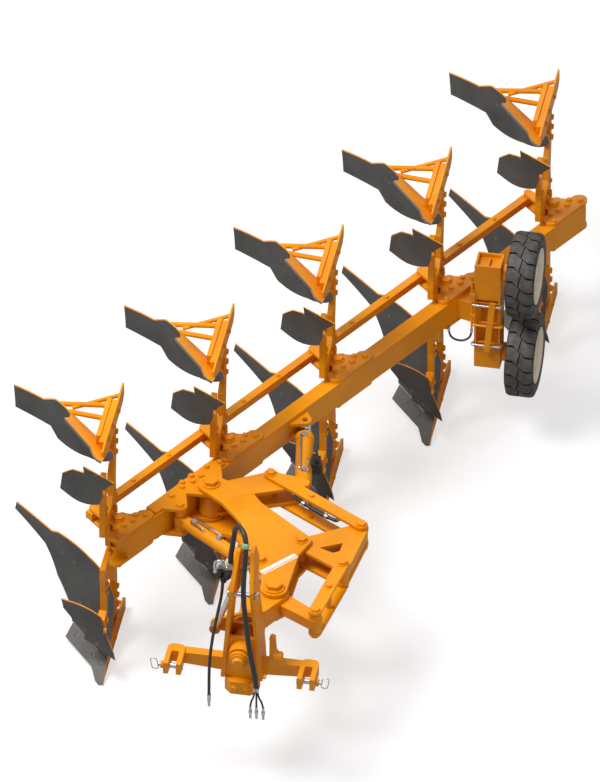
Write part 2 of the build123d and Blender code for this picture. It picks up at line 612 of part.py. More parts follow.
# ---------------------------------------------------------------- main arm
FOLD = Vector(-0.690, 0.724, 0).normalized()      # across the fold lines, towards the beam pivot
FOLD_START, FOLD_END = 1144.0, 1244.0
HEAD_PIN = 40.0
STAND_PLACE, STAND_AXLE, STAND_PIN = (-65.0, 1000.0), -185.0, 12.0
STAND_SIZE, STAND_EAR, STAND_FOOT = 56.0, 12.0, (120.0, 12.0)
arm_step = ARM_RAISED - ARM_LOW
with BuildPart() as main_arm:
    with BuildSketch(Plane(origin=(0, 0, 0), x_dir=FOLD, z_dir=(FOLD.Y, -FOLD.X, 0))):
        with BuildLine():
            Polyline(
                (-200, ARM_LOW), (FOLD_START, ARM_LOW), (FOLD_END, ARM_RAISED), (2000, ARM_RAISED),
                (2000, ARM_RAISED + ARM_THICK), (FOLD_END, ARM_RAISED + ARM_THICK),
                (FOLD_START, ARM_LOW + ARM_THICK), (-200, ARM_LOW + ARM_THICK), close=True,
            )
        make_face()
    extrude(amount=3000, both=True)
    with BuildSketch(Plane.XY):
        with BuildLine():
            Polyline(
                (195, 640), (206, 985), (256, 1118), (232, 1182), (-217, 1527), (-432, 1612),
                (-545, 1494), (-505, 1455), (-372, 1364), (-277, 1302), (-218, 1233), (-86, 900), (-62, 840),
                (2, 749), (25, 630), close=True,
            )
        make_face()
        for place, radius in ((HEAD_PIVOT, 86), (MIDDLE_PIVOT, 62), (BEAM_PIVOT, 84), (OFFSET_FRONT, 62)):
            with Locations(place):
                Circle(radius)
    extrude(amount=300, mode=Mode.INTERSECT)
    web_front = Vector(*HEAD_PIVOT) + Vector(*ARM_LENGTH).normalized() * 125
    web_middle = Vector(*MIDDLE_PIVOT) - Vector(*ARM_LENGTH).normalized() * 80
    web_rear = Vector(*MIDDLE_PIVOT) + Vector(*REACH).normalized() * 80
    web_end = Vector(*BEAM_PIVOT) - Vector(*REACH).normalized() * 290
    with BuildSketch(Plane.XY):
        add(wrap([(web_front.X, web_front.Y, 10), (web_middle.X, web_middle.Y, 10)]))
        add(wrap([(web_rear.X, web_rear.Y, 10), (web_end.X, web_end.Y, 10)]))
    extrude(amount=ARM_LOW)
    add(post(OFFSET_FRONT, 36, EYE_HALF + GAP, ARM_LOW))
    mirror(about=Plane.XY)
    for place, radius in ((HEAD_PIVOT, HEAD_PIN + RUNNING), (MIDDLE_PIVOT, MIDDLE_PIN), (BEAM_PIVOT, BEAM_PIN)):
        add(post(place, radius, -200, 200), mode=Mode.SUBTRACT)
    for side in (-1, 1):
        with BuildSketch(Plane.YZ.offset(STAND_PLACE[0] + side * (STAND_SIZE / 2 + GAP + STAND_EAR / 2))):
            with BuildLine():
                Polyline(
                    (STAND_PLACE[1] - 45, -ARM_LOW - ARM_THICK), (STAND_PLACE[1] - 26, STAND_AXLE - 28),
                    (STAND_PLACE[1] + 26, STAND_AXLE - 28), (STAND_PLACE[1] + 45, -ARM_LOW - ARM_THICK), close=True,
                )
            make_face()
            with Locations((STAND_PLACE[1], STAND_AXLE)):
                Circle(STAND_PIN, mode=Mode.SUBTRACT)
        extrude(amount=STAND_EAR / 2, both=True)
keep("main_arm", main_arm.part)

# ---------------------------------------------------------------- parking stand, swings up behind its pin
with BuildPart() as stand:
    add(block((STAND_PLACE[0] - STAND_SIZE / 2, STAND_PLACE[0] + STAND_SIZE / 2),
              (STAND_PLACE[1] - STAND_SIZE / 2, STAND_PLACE[1] + STAND_SIZE / 2),
              (FLOOR + STAND_FOOT[1], STAND_AXLE + 28)))
    add(block((STAND_PLACE[0] - STAND_FOOT[0] / 2, STAND_PLACE[0] + STAND_FOOT[0] / 2),
              (STAND_PLACE[1] - STAND_FOOT[0] / 2, STAND_PLACE[1] + STAND_FOOT[0] / 2),
              (FLOOR, FLOOR + STAND_FOOT[1])))
    with BuildSketch(Plane.YZ.offset(STAND_PLACE[0] - STAND_SIZE)):
        with Locations((STAND_PLACE[1], STAND_AXLE)):
            Circle(STAND_PIN + RUNNING)
    extrude(amount=2 * STAND_SIZE, mode=Mode.SUBTRACT)
keep("parking_stand", stand.part)

with BuildPart() as arm_pins:
    add(pivot_pin(MIDDLE_PIVOT, MIDDLE_PIN, ARM_LOW + ARM_THICK))
    add(pivot_pin(BEAM_PIVOT, BEAM_PIN, ARM_RAISED + ARM_THICK))
    add(cross_pin((STAND_PLACE[0], STAND_PLACE[1], STAND_AXLE), STAND_PIN, STAND_SIZE / 2 + GAP + STAND_EAR, 8))
keep("arm_pins", arm_pins.part)

# ---------------------------------------------------------------- cylinders between the pivots
BARREL_START = 66.0    # from the tail pin to the barrel, clear of the plates that hold the pin


def cylinder_pair(tail, eye, barrel_radius, rod_radius, tail_bore, showing, inward, outward):
    """Barrel and rod of a hydraulic cylinder lying level between two upright pins.

    A length of the rod shows; it travels inward and outward from there.
    """
    start, end = Vector(*tail, 0), Vector(*eye, 0)
    reach = (end - start).length
    way = (end - start).normalized()
    barrel_end = reach - showing - 70
    rod_start = barrel_end - outward - 40
    with BuildPart() as barrel:
        with BuildSketch(Plane(origin=start + way * BARREL_START, z_dir=way)):
            Circle(barrel_radius)
        extrude(amount=barrel_end - BARREL_START)
        with BuildSketch(Plane(origin=start + way * (barrel_end - 55), z_dir=way)):
            Circle(barrel_radius + 7)
        extrude(amount=55)
        with BuildSketch(Plane.XY.offset(-EYE_HALF)):
            with Locations(tail):
                Circle(40)
        extrude(amount=2 * EYE_HALF)
        with BuildSketch(Plane(origin=start, z_dir=way)):
            Rectangle(2 * EYE_HALF, 2 * EYE_HALF)
        extrude(amount=BARREL_START)
        with BuildSketch(Plane.XY.offset(-EYE_HALF)):
            with Locations(tail):
                Circle(tail_bore + RUNNING)
        extrude(amount=2 * EYE_HALF, mode=Mode.SUBTRACT)
        with BuildSketch(Plane(origin=start + way * (rod_start - inward - 20), z_dir=way)):
            Circle(rod_radius + RUNNING)
        extrude(amount=barrel_end - rod_start + inward + 20, mode=Mode.SUBTRACT)
    with BuildPart() as rod:
        with BuildSketch(Plane(origin=start + way * rod_start, z_dir=way)):
            Circle(rod_radius)
        extrude(amount=reach - rod_start)
        with BuildSketch(Plane.XY.offset(-EYE_HALF)):
            with Locations(eye):
                Circle(38)
        extrude(amount=2 * EYE_HALF)
    return barrel.part, rod.part


WIDTH_BARREL, WIDTH_ROD, OFFSET_BARREL, OFFSET_ROD = 55.0, 25.0, 45.0, 22.0
width_barrel, width_rod = cylinder_pair(WIDTH_FRONT, WIDTH_REAR, WIDTH_BARREL, WIDTH_ROD, LEG_PIN, 40, 0, 120)
keep("width_cylinder_barrel", width_barrel)
keep("width_cylinder_rod", width_rod)
offset_barrel, offset_rod = cylinder_pair(OFFSET_REAR, OFFSET_FRONT, OFFSET_BARREL, OFFSET_ROD, EYE_PIN, 120, 115, 37)
keep("offset_cylinder_barrel", offset_barrel)
keep("offset_cylinder_rod", offset_rod)

# ================================================================ turning frame
SPINDLE, HOUSING, TUBE = 50.0, 75.0, 85.0
HOUSING_Y = (10.0, 290.0)
CRANK_Y = (348.0, 376.0)
CAP_RADIUS, CAP_Y = 62.0, (-22.0, 4.7)
CRANK_PIN = (-215.0, -30.0)
with BuildPart() as turn_frame:
    for radius, low, high in ((SPINDLE, -8, 300), (110, 296, 322), (TUBE, 322, 530)):
        with BuildSketch(Plane.XZ.offset(-low)):
            Circle(radius)
        extrude(amount=-(high - low))
    with BuildSketch(Plane.XZ.offset(-CRANK_Y[0])):
        add(wrap([(0, 0, 95), (*CRANK_PIN, 38)]))
    extrude(amount=-(CRANK_Y[1] - CRANK_Y[0]))
    with BuildSketch(Plane.XZ.offset(-CRANK_Y[0])):
        with Locations(CRANK_PIN):
            Circle(24)
    extrude(amount=CRANK_Y[0] - 341)
    with BuildSketch(Plane.XZ.offset(-CAP_Y[0])):
        Circle(CAP_RADIUS)
    extrude(amount=-(CAP_Y[1] - CAP_Y[0]))
    add(flat_link([(*HEAD_PIVOT, 95), (-40, 480, 40), (60, 440, 40)], -70, 70))
    add(flat_link([(HEAD_PIVOT[0] + 40, HEAD_PIVOT[1] - 20, 60), (*SHORT_FRONT, 46)], -38, 38))
    add(post(SHORT_FRONT, 42, -PLATE_HIGH, PLATE_HIGH))
    add(post(HEAD_PIVOT, HEAD_PIN, -90, 90), mode=Mode.SUBTRACT)
    add(post(SHORT_FRONT, LINK_PIN, -90, 90), mode=Mode.SUBTRACT)
keep("turning_frame", turn_frame.part)

with BuildPart() as turn_pins:
    add(pivot_pin(HEAD_PIVOT, HEAD_PIN, ARM_LOW + ARM_THICK))
    add(pivot_pin(SHORT_FRONT, LINK_PIN, LINK_HIGH))
keep("turning_frame_pins", turn_pins.part)

# ================================================================ headstock
MAST_TILT = 4.75
MAST_TOP, MAST_GAP, MAST_THICK = 715.0, 33.0, 25.0
mast_plane = Plane(
    origin=(MAST_GAP, 0, MAST_TOP), x_dir=(0, 1, 0), z_dir=(cos(radians(MAST_TILT)), 0, sin(radians(MAST_TILT))),
)
HITCH_HALF, HITCH_PIN_Y, HITCH_PIN_Z, HITCH_PIN = 435.0, 25.0, -140.0, 18.0
EAR_GAP, EAR = 52.0, 24.0
BAR_END = HITCH_HALF + EAR_GAP / 2 + 9     # inside the outer ears, which close it
with BuildPart() as crossbar:
    add(block((-118, 118), (118, 182), (-232, -98)))
    with BuildSketch(Plane.XZ.offset(-118)):
        with BuildLine():
            Polyline((0, -100), (BAR_END, -100), (BAR_END, -180), (130, -205), (0, -205), close=True)
        make_face()
    extrude(amount=-64)
    for inner in (HITCH_HALF - EAR_GAP / 2 - EAR, HITCH_HALF + EAR_GAP / 2):
        with BuildSketch(Plane.YZ.offset(inner)):
            add(wrap([(HITCH_PIN_Y, HITCH_PIN_Z, 42), (130, HITCH_PIN_Z + 3, 42)]))
            with Locations((HITCH_PIN_Y, HITCH_PIN_Z)):
                Circle(HITCH_PIN + RUNNING, mode=Mode.SUBTRACT)
        extrude(amount=EAR)
    mirror(about=Plane.YZ)
    with BuildSketch(Plane.XY.offset(-330)):
        with Locations((0, 120)):
            Rectangle(220, 160)
            chamfer(vertices(), 45)
    extrude(amount=98)
keep("crossbar", crossbar.part)


TURN_PLANE, TURN_PIVOT, TURN_EYE_HALF, TURN_LUG, TURN_PIN = 318.0, 590.0, 22.0, 14.0, 15.0
TOP_LINK, TOP_LINK_SPARE = (118.0, 438.0), (150.0, 515.0)
TOP_BORE = 16.2
with BuildPart() as mast:
    with BuildSketch(mast_plane):
        with BuildLine():
            Polyline(
                (78, -950), (74, -310), (82, -235), (215, -4), (232, 0), (292, 0), (318, -60), (350, -125),
                (330, -165), (275, -215), (272, -800), (245, -950), close=True,
            )
        make_face()
    extrude(amount=MAST_THICK)
    mirror(about=Plane.YZ)
    for y in (95, 240):
        with BuildSketch(Plane.XZ.offset(-y)):
            with BuildLine():
                Polyline((-116, -230), (116, -230), (88, 95), (-88, 95), close=True)
            make_face()
        extrude(amount=-25)
    for y in (TURN_PLANE - TURN_EYE_HALF - GAP - TURN_LUG, TURN_PLANE + TURN_EYE_HALF + GAP):
        with BuildSketch(Plane.XZ.offset(-y)):
            with Locations((0, TURN_PIVOT)):
                Rectangle(100, 76)
                Circle(TURN_PIN, mode=Mode.SUBTRACT)
        extrude(amount=-TURN_LUG)
    with BuildSketch(Plane.XZ.offset(-HOUSING_Y[0])):
        Circle(HOUSING)
    extrude(amount=-(HOUSING_Y[1] - HOUSING_Y[0]))
    with BuildSketch(Plane.XZ.offset(-HOUSING_Y[0])):
        Circle(SPINDLE + RUNNING)
    extrude(amount=-(HOUSING_Y[1] - HOUSING_Y[0]), mode=Mode.SUBTRACT)
    with BuildSketch(Plane.YZ.offset(-200)):
        with Locations(TOP_LINK, TOP_LINK_SPARE):
            Circle(TOP_BORE)
    extrude(amount=400, mode=Mode.SUBTRACT)
    add(crossbar.part, mode=Mode.SUBTRACT)
keep("mast", mast.part)


with BuildPart() as hitch_pins:
    for side in (-1, 1):
        add(cross_pin((side * HITCH_HALF, HITCH_PIN_Y, HITCH_PIN_Z), HITCH_PIN, EAR_GAP / 2 + EAR + 1, 12))
    add(cross_pin((0, *TOP_LINK), TOP_BORE - RUNNING, 86, 10))
    pin_start = TURN_PLANE - TURN_EYE_HALF - GAP - TURN_LUG
    with BuildSketch(Plane.XZ.offset(-pin_start)):
        with Locations((0, TURN_PIVOT)):
            Circle(TURN_PIN)
    extrude(amount=-2 * (TURN_PLANE - pin_start))
keep("hitch_pins", hitch_pins.part)

TURN_TOP = Vector(0, TURN_PLANE, TURN_PIVOT)
TURN_EYE = Vector(CRANK_PIN[0], TURN_PLANE, CRANK_PIN[1])
TURN_BARREL, TURN_ROD, TURN_BARREL_SPAN = 36.0, 20.0, (110.0, 330.0)
turn_way = (TURN_EYE - TURN_TOP).normalized()
turn_reach = (TURN_EYE - TURN_TOP).length
with BuildPart() as turn_barrel:
    with BuildSketch(Plane.XZ.offset(-TURN_PLANE + TURN_EYE_HALF)):
        with Locations((0, TURN_PIVOT)):
            Circle(30)
    extrude(amount=-2 * TURN_EYE_HALF)
    with BuildSketch(Plane(origin=TURN_TOP + turn_way * 20, z_dir=turn_way)):
        Circle(TURN_EYE_HALF)
    extrude(amount=TURN_BARREL_SPAN[0] - 20)
    with BuildSketch(Plane(origin=TURN_TOP + turn_way * TURN_BARREL_SPAN[0], z_dir=turn_way)):
        Circle(TURN_BARREL)
    extrude(amount=TURN_BARREL_SPAN[1] - TURN_BARREL_SPAN[0])
    with BuildSketch(Plane(origin=TURN_TOP + turn_way * 250, z_dir=turn_way)):
        Circle(TURN_ROD + RUNNING)
    extrude(amount=100, mode=Mode.SUBTRACT)
    with BuildSketch(Plane.XZ.offset(-TURN_PLANE + TURN_EYE_HALF)):
        with Locations((0, TURN_PIVOT)):
            Circle(TURN_PIN + RUNNING)
    extrude(amount=-2 * TURN_EYE_HALF, mode=Mode.SUBTRACT)
keep("turnover_cylinder_barrel", turn_barrel.part)
with BuildPart() as turn_rod:
    with BuildSketch(Plane(origin=TURN_TOP + turn_way * 260, z_dir=turn_way)):
        Circle(TURN_ROD)
    extrude(amount=turn_reach - 260)
    with BuildSketch(Plane.XZ.offset(-TURN_PLANE + TURN_EYE_HALF)):
        with Locations(CRANK_PIN):
            Circle(36)
    extrude(amount=-2 * TURN_EYE_HALF)
keep("turnover_cylinder_rod", turn_rod.part)

# ---------------------------------------------------------------- valve block on the mast's left plate
VALVE_X, VALVE_Y, VALVE_Z = (-190.0, -60.0), (212.0, 274.0), (480.0, 552.0)
with BuildPart() as valve_block:
    add(block(VALVE_X, VALVE_Y, VALVE_Z))
    for y in (VALVE_Y[0] + 14, VALVE_Y[1] - 14):
        add(post((VALVE_X[0] + 22, y), 9, VALVE_Z[0], VALVE_Z[1] + 26))
    add(mast.part, mode=Mode.SUBTRACT)
    add(block((-60, 0), (0, 400), (400, 600)), mode=Mode.SUBTRACT)
keep("valve_block", valve_block.part)

# ---------------------------------------------------------------- free hoses, each a chain of runs and arcs
FINGER = 0.3      # from the end of a hose to what it plugs into
BUNDLE, TAIL, LEFT_HOSE, LOOP_HOSE = 34.0, 13.0, 20.0, 14.0
BUNDLE_END = (122.0, -60.0, -170.0)
COUPLER_RADIUS, COUPLER_LENGTH = 12.0, 62.0
hose_points = {
    "hose_bundle": (BUNDLE, [
        (-100, 243, VALVE_Z[1] + FINGER), (-100, 243, 640), (-105, 262, 740), (-98, 262, 850), (-64, 226, 918),
        (-10, 168, 944), (45, 110, 918), (79, 75, 850), (76, 50, 690), (76, 30, 500), (82, 5, 310),
        (104, -38, 110), (122, -60, -50), BUNDLE_END,
    ]),
    "hose_left": (LEFT_HOSE, [
        (-150, 243, VALVE_Z[0] - FINGER), (-150, 243, 350), (-172, 160, 210), (-190, 80, 70), (-198, 22, -80),
        (-194, -14, -225), (-194, -14, -345),
    ]),
    "hose_wheel": (LOOP_HOSE, [
        (848, 3706, -95 - FINGER), (848, 3706, -150), (820, 3703, -189), (774, 3699, -204), (728, 3695, -189),
        (700, 3692, -150), (700, 3692, -BEAM_HEIGHT / 2 - FINGER),
    ]),
}
# tail: its place in the bundle's end (x, y) and the x of its coupler
TAILS = [(-9, -6, 84), (0, 9, 124), (9, -6, 168)]
for number, (dx, dy, coupler_x) in enumerate(TAILS):
    x, y, z = BUNDLE_END
    hose_points[f"hose_tail_{number + 1}"] = (TAIL, [
        (x + dx, y + dy, z - FINGER), (x + dx, y + dy, z - 62), (coupler_x, y - 3, z - 132), (coupler_x, y - 3, z - 192),
    ])


def hose(width, points):
    """A tube along straight runs joined by arcs; each arc takes 0.45 of the shorter run beside it."""
    spots = [Vector(*p) for p in points]
    radii = []
    for before, corner, after in zip(spots, spots[1:], spots[2:]):
        first, second = corner - before, after - corner
        turn = radians(first.get_angle(second))
        radii.append(0.45 * min(first.length, second.length) / tan(turn / 2))
    with BuildPart() as tube:
        with BuildLine() as route:
            FilletPolyline(*spots, radius=radii)
        with BuildSketch(Plane(origin=spots[0], z_dir=spots[1] - spots[0])):
            Circle(width / 2)
        sweep(path=route.wire())
    print(f"tightest bend {min(radii) / width:.1f} widths, length {route.wire().length:.0f}", end=" ")
    return tube.part


for name, (width, points) in hose_points.items():
    cord_names.append(name)
    keep(name, hose(width, points))
    print(name)
with BuildPart() as couplers:
    for name in ("hose_left", *(f"hose_tail_{k + 1}" for k in range(len(TAILS)))):
        x, y, z = hose_points[name][1][-1]
        for size, low, high in ((COUPLER_RADIUS, COUPLER_LENGTH * 2 / 3, COUPLER_LENGTH), (COUPLER_RADIUS - 3, 0, COUPLER_LENGTH)):
            add(post((x, y), size, z - FINGER - COUPLER_LENGTH + low, z - FINGER - COUPLER_LENGTH + high))
keep("hose_couplers", couplers.part)

# ---------------------------------------------------------------- export, with the origin on the ground
lows = [piece.bounding_box().min for name, piece in pieces.items() if name not in cord_names]
highs = [piece.bounding_box().max for name, piece in pieces.items() if name not in cord_names]
MIDDLE_X = (min(p.X for p in lows) + max(p.X for p in highs)) / 2
MIDDLE_Y = (min(p.Y for p in lows) + max(p.Y for p in highs)) / 2
GROUND = min(p.Z for p in lows)
os.makedirs("parts", exist_ok=True)
for name, piece in pieces.items():
    placed = piece.moved(Location((-MIDDLE_X, -MIDDLE_Y, -GROUND)))
    placed.label = name
    export_step(placed, f"parts/{name}.step")
print("origin in the working frame:", round(MIDDLE_X, 3), round(MIDDLE_Y, 3), round(GROUND, 3))
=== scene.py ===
import json
from math import cos, pi, radians, sin

import bmesh
import bpy
from mathutils import Matrix, Vector


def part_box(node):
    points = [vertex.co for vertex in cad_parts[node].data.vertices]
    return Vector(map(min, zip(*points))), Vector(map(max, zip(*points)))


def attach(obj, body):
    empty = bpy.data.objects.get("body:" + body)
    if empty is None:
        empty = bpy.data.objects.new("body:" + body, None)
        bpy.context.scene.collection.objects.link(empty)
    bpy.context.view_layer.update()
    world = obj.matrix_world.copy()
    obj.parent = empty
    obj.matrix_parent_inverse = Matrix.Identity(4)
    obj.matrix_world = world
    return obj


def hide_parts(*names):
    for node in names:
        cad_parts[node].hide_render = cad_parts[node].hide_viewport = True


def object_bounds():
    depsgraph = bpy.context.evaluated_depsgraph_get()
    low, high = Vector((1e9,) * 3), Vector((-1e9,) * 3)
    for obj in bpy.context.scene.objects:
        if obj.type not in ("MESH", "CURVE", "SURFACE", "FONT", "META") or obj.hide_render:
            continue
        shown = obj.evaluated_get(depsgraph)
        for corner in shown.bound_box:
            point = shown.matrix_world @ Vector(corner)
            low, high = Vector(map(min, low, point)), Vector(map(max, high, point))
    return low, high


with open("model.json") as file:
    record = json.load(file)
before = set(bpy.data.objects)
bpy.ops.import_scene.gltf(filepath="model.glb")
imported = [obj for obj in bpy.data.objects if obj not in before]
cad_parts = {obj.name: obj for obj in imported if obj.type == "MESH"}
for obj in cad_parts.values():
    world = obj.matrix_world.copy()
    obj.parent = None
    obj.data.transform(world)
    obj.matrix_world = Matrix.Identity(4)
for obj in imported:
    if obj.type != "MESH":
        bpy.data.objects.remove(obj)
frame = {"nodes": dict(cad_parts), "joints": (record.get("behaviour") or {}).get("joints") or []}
cad_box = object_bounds()
joints = {joint["name"]: joint for joint in frame["joints"]}


# ================================================================ places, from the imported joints
def joint_place(name):
    """Where a joint sits at rest, in metres."""
    return Vector(joints[name]["pos_m"])


TURN_AXIS = joint_place("turnover")
# the upright pins of the offset linkage; a rear pin that has no joint completes its parallelogram
HEAD = joint_place("offset")
MIDDLE = joint_place("bell_crank_turn")
SHORT_FRONT = joint_place("short_link_turn")
SHORT_REAR = MIDDLE + (SHORT_FRONT - HEAD)
LONG_FRONT = joint_place("long_link_turn")
BEAM_PIVOT = joint_place("width")
LONG_REAR = BEAM_PIVOT + (LONG_FRONT - MIDDLE)
WIDTH_FRONT = joint_place("width_cylinder_turn")
OFFSET_REAR = joint_place("offset_cylinder_turn")
LEGS = [joint_place(f"body_{k}_turn") for k in range(1, 6)]
WHEELS = {"upper": joint_place("wheel_upper_spin"), "lower": joint_place("wheel_lower_spin")}
BAR_FIRST = joint_place("control_bar_turn")

ALONG = (LEGS[-1] - LEGS[0]).normalized()          # beam direction
BESIDE = Vector((-ALONG.y, ALONG.x, 0))            # across the beam, towards the bodies
UP, RIGHT = Vector((0, 0, 1)), Vector((1, 0, 0))
FORWARD, REARWARD = Vector((0, -1, 0)), Vector((0, 1, 0))
MID = TURN_AXIS.z                                  # height of the middle plane
AXIS_LEAD = 200                                    # mm from the turnover axis' front end to its joint


def mm(*size):
    """A step given in millimetres."""
    return Vector(size) / 1000


def from_axis(x, y, z):
    """A place given in millimetres from the turnover axis' front end."""
    return TURN_AXIS + mm(x, y - AXIS_LEAD, z)


def on_beam(along, beside):
    """A place by its distances in millimetres along and beside the beam, from the first leg's hinge."""
    return LEGS[0] + ALONG * along / 1000 + BESIDE * beside / 1000


# ================================================================ materials
def new_material(name):
    """An empty material with its nodes, links and shader."""
    material = bpy.data.materials.new(name)
    material.use_nodes = True
    nodes, links = material.node_tree.nodes, material.node_tree.links
    return material, nodes, links, nodes["Principled BSDF"]


def noise(nodes, links, scale, detail, stretch=(1, 1, 1)):
    """Noise in object space, stretched along an axis by its scales."""
    where = nodes.new("ShaderNodeTexCoord")
    mapping = nodes.new("ShaderNodeMapping")
    mapping.inputs["Scale"].default_value = stretch
    texture = nodes.new("ShaderNodeTexNoise")
    texture.inputs["Scale"].default_value = scale
    texture.inputs["Detail"].default_value = detail
    links.new(where.outputs["Object"], mapping.inputs["Vector"])
    links.new(mapping.outputs["Vector"], texture.inputs["Vector"])
    return texture.outputs["Fac"]


def ramp(nodes, links, source, stops):
    """A colour ramp; stops are (position, colour)."""
    made = nodes.new("ShaderNodeValToRGB")
    elements = made.color_ramp.elements
    while len(elements) < len(stops):
        elements.new(0.5)
    for element, (position, colour) in zip(elements, stops):
        element.position = position
        element.color = (*colour, 1)
    links.new(source, made.inputs["Fac"])
    return made.outputs["Color"]


def mixed(nodes, links, factor, a, b):
    """Colour a where the factor is 0, and b where it is 1."""
    made = nodes.new("ShaderNodeMix")
    made.data_type = "RGBA"
    links.new(factor, made.inputs["Factor"])
    links.new(a, made.inputs["A"])
    links.new(b, made.inputs["B"])
    return made.outputs["Result"]


def bump(nodes, links, source, bsdf, strength, distance):
    """Relief from a height, with its depth in metres."""
    made = nodes.new("ShaderNodeBump")
    made.inputs["Strength"].default_value = strength
    made.inputs["Distance"].default_value = distance
    links.new(source, made.inputs["Height"])
    links.new(made.outputs["Normal"], bsdf.inputs["Normal"])


ORANGE_DEEP, ORANGE = (0.70, 0.235, 0.0008), (0.79, 0.280, 0.0010)
ORANGE_BRIGHT, PRIMER = (0.86, 0.325, 0.0015), (0.42, 0.13, 0.01)
BLACK, WHITE = (0, 0, 0), (1, 1, 1)
PAINT_ROUGHNESS = (0.34, 0.50)
PAINT_SPECULAR = 0.28
PAINT_COAT, COAT_ROUGHNESS = 0.04, 0.30
BOARD_EDGE = (-0.24, -0.16)        # the normal's Y over which a board's steel front gives way to paint
BOARD_METAL, BOARD_ROUGHNESS = 0.35, 0.46
STREAK_SHARE, CLOUD_SHARE = 0.45, 0.55
STREAKS = (1.0, 1.0, 9.0)          # how much finer the streaks are along each axis


def orange_colour(nodes, links):
    """Orange paint with slow shifts of tone and a few thin, darker rubbed spots."""
    tones = [(0.3, ORANGE_DEEP), (0.5, ORANGE), (0.72, ORANGE_BRIGHT)]
    tone = ramp(nodes, links, noise(nodes, links, 2.2, 3), tones)
    rub = ramp(nodes, links, noise(nodes, links, 38, 6), [(0.70, BLACK), (0.76, WHITE)])
    worn = nodes.new("ShaderNodeRGB")
    worn.outputs[0].default_value = (*PRIMER, 1)
    return mixed(nodes, links, rub, tone, worn.outputs[0])


def make_paint():
    material, nodes, links, bsdf = new_material("orange_paint")
    links.new(orange_colour(nodes, links), bsdf.inputs["Base Color"])
    rough = nodes.new("ShaderNodeMapRange")
    rough.inputs["To Min"].default_value, rough.inputs["To Max"].default_value = PAINT_ROUGHNESS
    links.new(noise(nodes, links, 9, 5), rough.inputs["Value"])
    links.new(rough.outputs["Result"], bsdf.inputs["Roughness"])
    bsdf.inputs["Specular IOR Level"].default_value = PAINT_SPECULAR
    bsdf.inputs["Coat Weight"].default_value = PAINT_COAT
    bsdf.inputs["Coat Roughness"].default_value = COAT_ROUGHNESS
    bump(nodes, links, noise(nodes, links, 160, 3), bsdf, 0.12, 0.0006)
    return material


def math_node(nodes, operation, *values):
    """A maths node whose inputs after the first have these values."""
    made = nodes.new("ShaderNodeMath")
    made.operation = operation
    for i, value in enumerate(values, 1):
        made.inputs[i].default_value = value
    return made


def make_board(name, dark, light):
    """Hardened sheet with fine streaks across its front, and orange paint on its edges and back."""
    material, nodes, links, bsdf = new_material(name)
    streaks = noise(nodes, links, 30, 6, STREAKS)
    clouds = noise(nodes, links, 4, 3)
    both = math_node(nodes, "MULTIPLY_ADD", STREAK_SHARE)
    scaled = math_node(nodes, "MULTIPLY", CLOUD_SHARE)
    links.new(streaks, both.inputs[0])
    links.new(clouds, scaled.inputs[0])
    links.new(scaled.outputs[0], both.inputs[2])
    steel = ramp(nodes, links, both.outputs[0], [(0.34, dark), (0.66, light)])
    where = nodes.new("ShaderNodeTexCoord")
    split = nodes.new("ShaderNodeSeparateXYZ")
    links.new(where.outputs["Normal"], split.inputs[0])
    back = nodes.new("ShaderNodeMapRange")
    back.inputs["From Min"].default_value, back.inputs["From Max"].default_value = BOARD_EDGE
    links.new(split.outputs["Y"], back.inputs["Value"])
    colour = mixed(nodes, links, back.outputs["Result"], steel, orange_colour(nodes, links))
    metal = math_node(nodes, "MULTIPLY_ADD", -BOARD_METAL, BOARD_METAL)
    links.new(back.outputs["Result"], metal.inputs[0])
    links.new(metal.outputs[0], bsdf.inputs["Metallic"])
    links.new(colour, bsdf.inputs["Base Color"])
    bsdf.inputs["Roughness"].default_value = BOARD_ROUGHNESS
    bump(nodes, links, streaks, bsdf, 0.10, 0.0008)
    return material


def make_plain(name, dark, light, scale, roughness, metallic=0.0, depth=0.0004):
    """A surface whose colour and relief follow one noise."""
    material, nodes, links, bsdf = new_material(name)
    grain = noise(nodes, links, scale, 5)
    links.new(ramp(nodes, links, grain, [(0.35, dark), (0.65, light)]), bsdf.inputs["Base Color"])
    bsdf.inputs["Roughness"].default_value = roughness
    bsdf.inputs["Metallic"].default_value = metallic
    bump(nodes, links, grain, bsdf, 0.3, depth)
    return material


PAINT = make_paint()
BOARD = make_board("mouldboard_steel", (0.050, 0.049, 0.046), (0.098, 0.096, 0.090))
SHARE = make_board("share_steel", (0.120, 0.116, 0.108), (0.180, 0.175, 0.165))
TYRE = make_plain("tyre_rubber", (0.042, 0.039, 0.035), (0.074, 0.069, 0.062), 22, 0.58, depth=0.0012)
# a darker rubber for the floors and walls of the tread's grooves: painted shade, the same rubber as the tyre
GROOVE_SHADE_RUBBER = make_plain("groove_painted_shade", (0.010, 0.009, 0.008), (0.020, 0.018, 0.016), 22, 0.8)
DARK_STEEL = make_plain("dark_steel", (0.030, 0.030, 0.031), (0.080, 0.080, 0.082), 70, 0.38, 0.7)
RIM = make_plain("rim_paint", (0.66, 0.58, 0.44), (0.78, 0.71, 0.58), 12, 0.45)
ZINC = make_plain("zinc", (0.50, 0.51, 0.52), (0.72, 0.72, 0.71), 60, 0.32, 0.85)
CHROME = make_plain("chrome", (0.70, 0.71, 0.73), (0.80, 0.80, 0.82), 40, 0.12, 1.0, 0.0001)
HOSE = make_plain("hose_rubber", (0.018, 0.018, 0.019), (0.042, 0.042, 0.043), 300, 0.48, depth=0.0006)
# white lines that paint the highlight on the bend of the main arm's plate
BEND_HIGHLIGHT = make_plain("painted_bend_highlight", (0.72, 0.71, 0.68), (0.84, 0.83, 0.80), 14, 0.4)
BOLT_STEEL = make_plain("bolt_steel", (0.09, 0.088, 0.084), (0.17, 0.165, 0.155), 60, 0.4, 0.4)
CLAMP = make_plain("green_clamp", (0.22, 0.42, 0.20), (0.34, 0.55, 0.30), 30, 0.5)

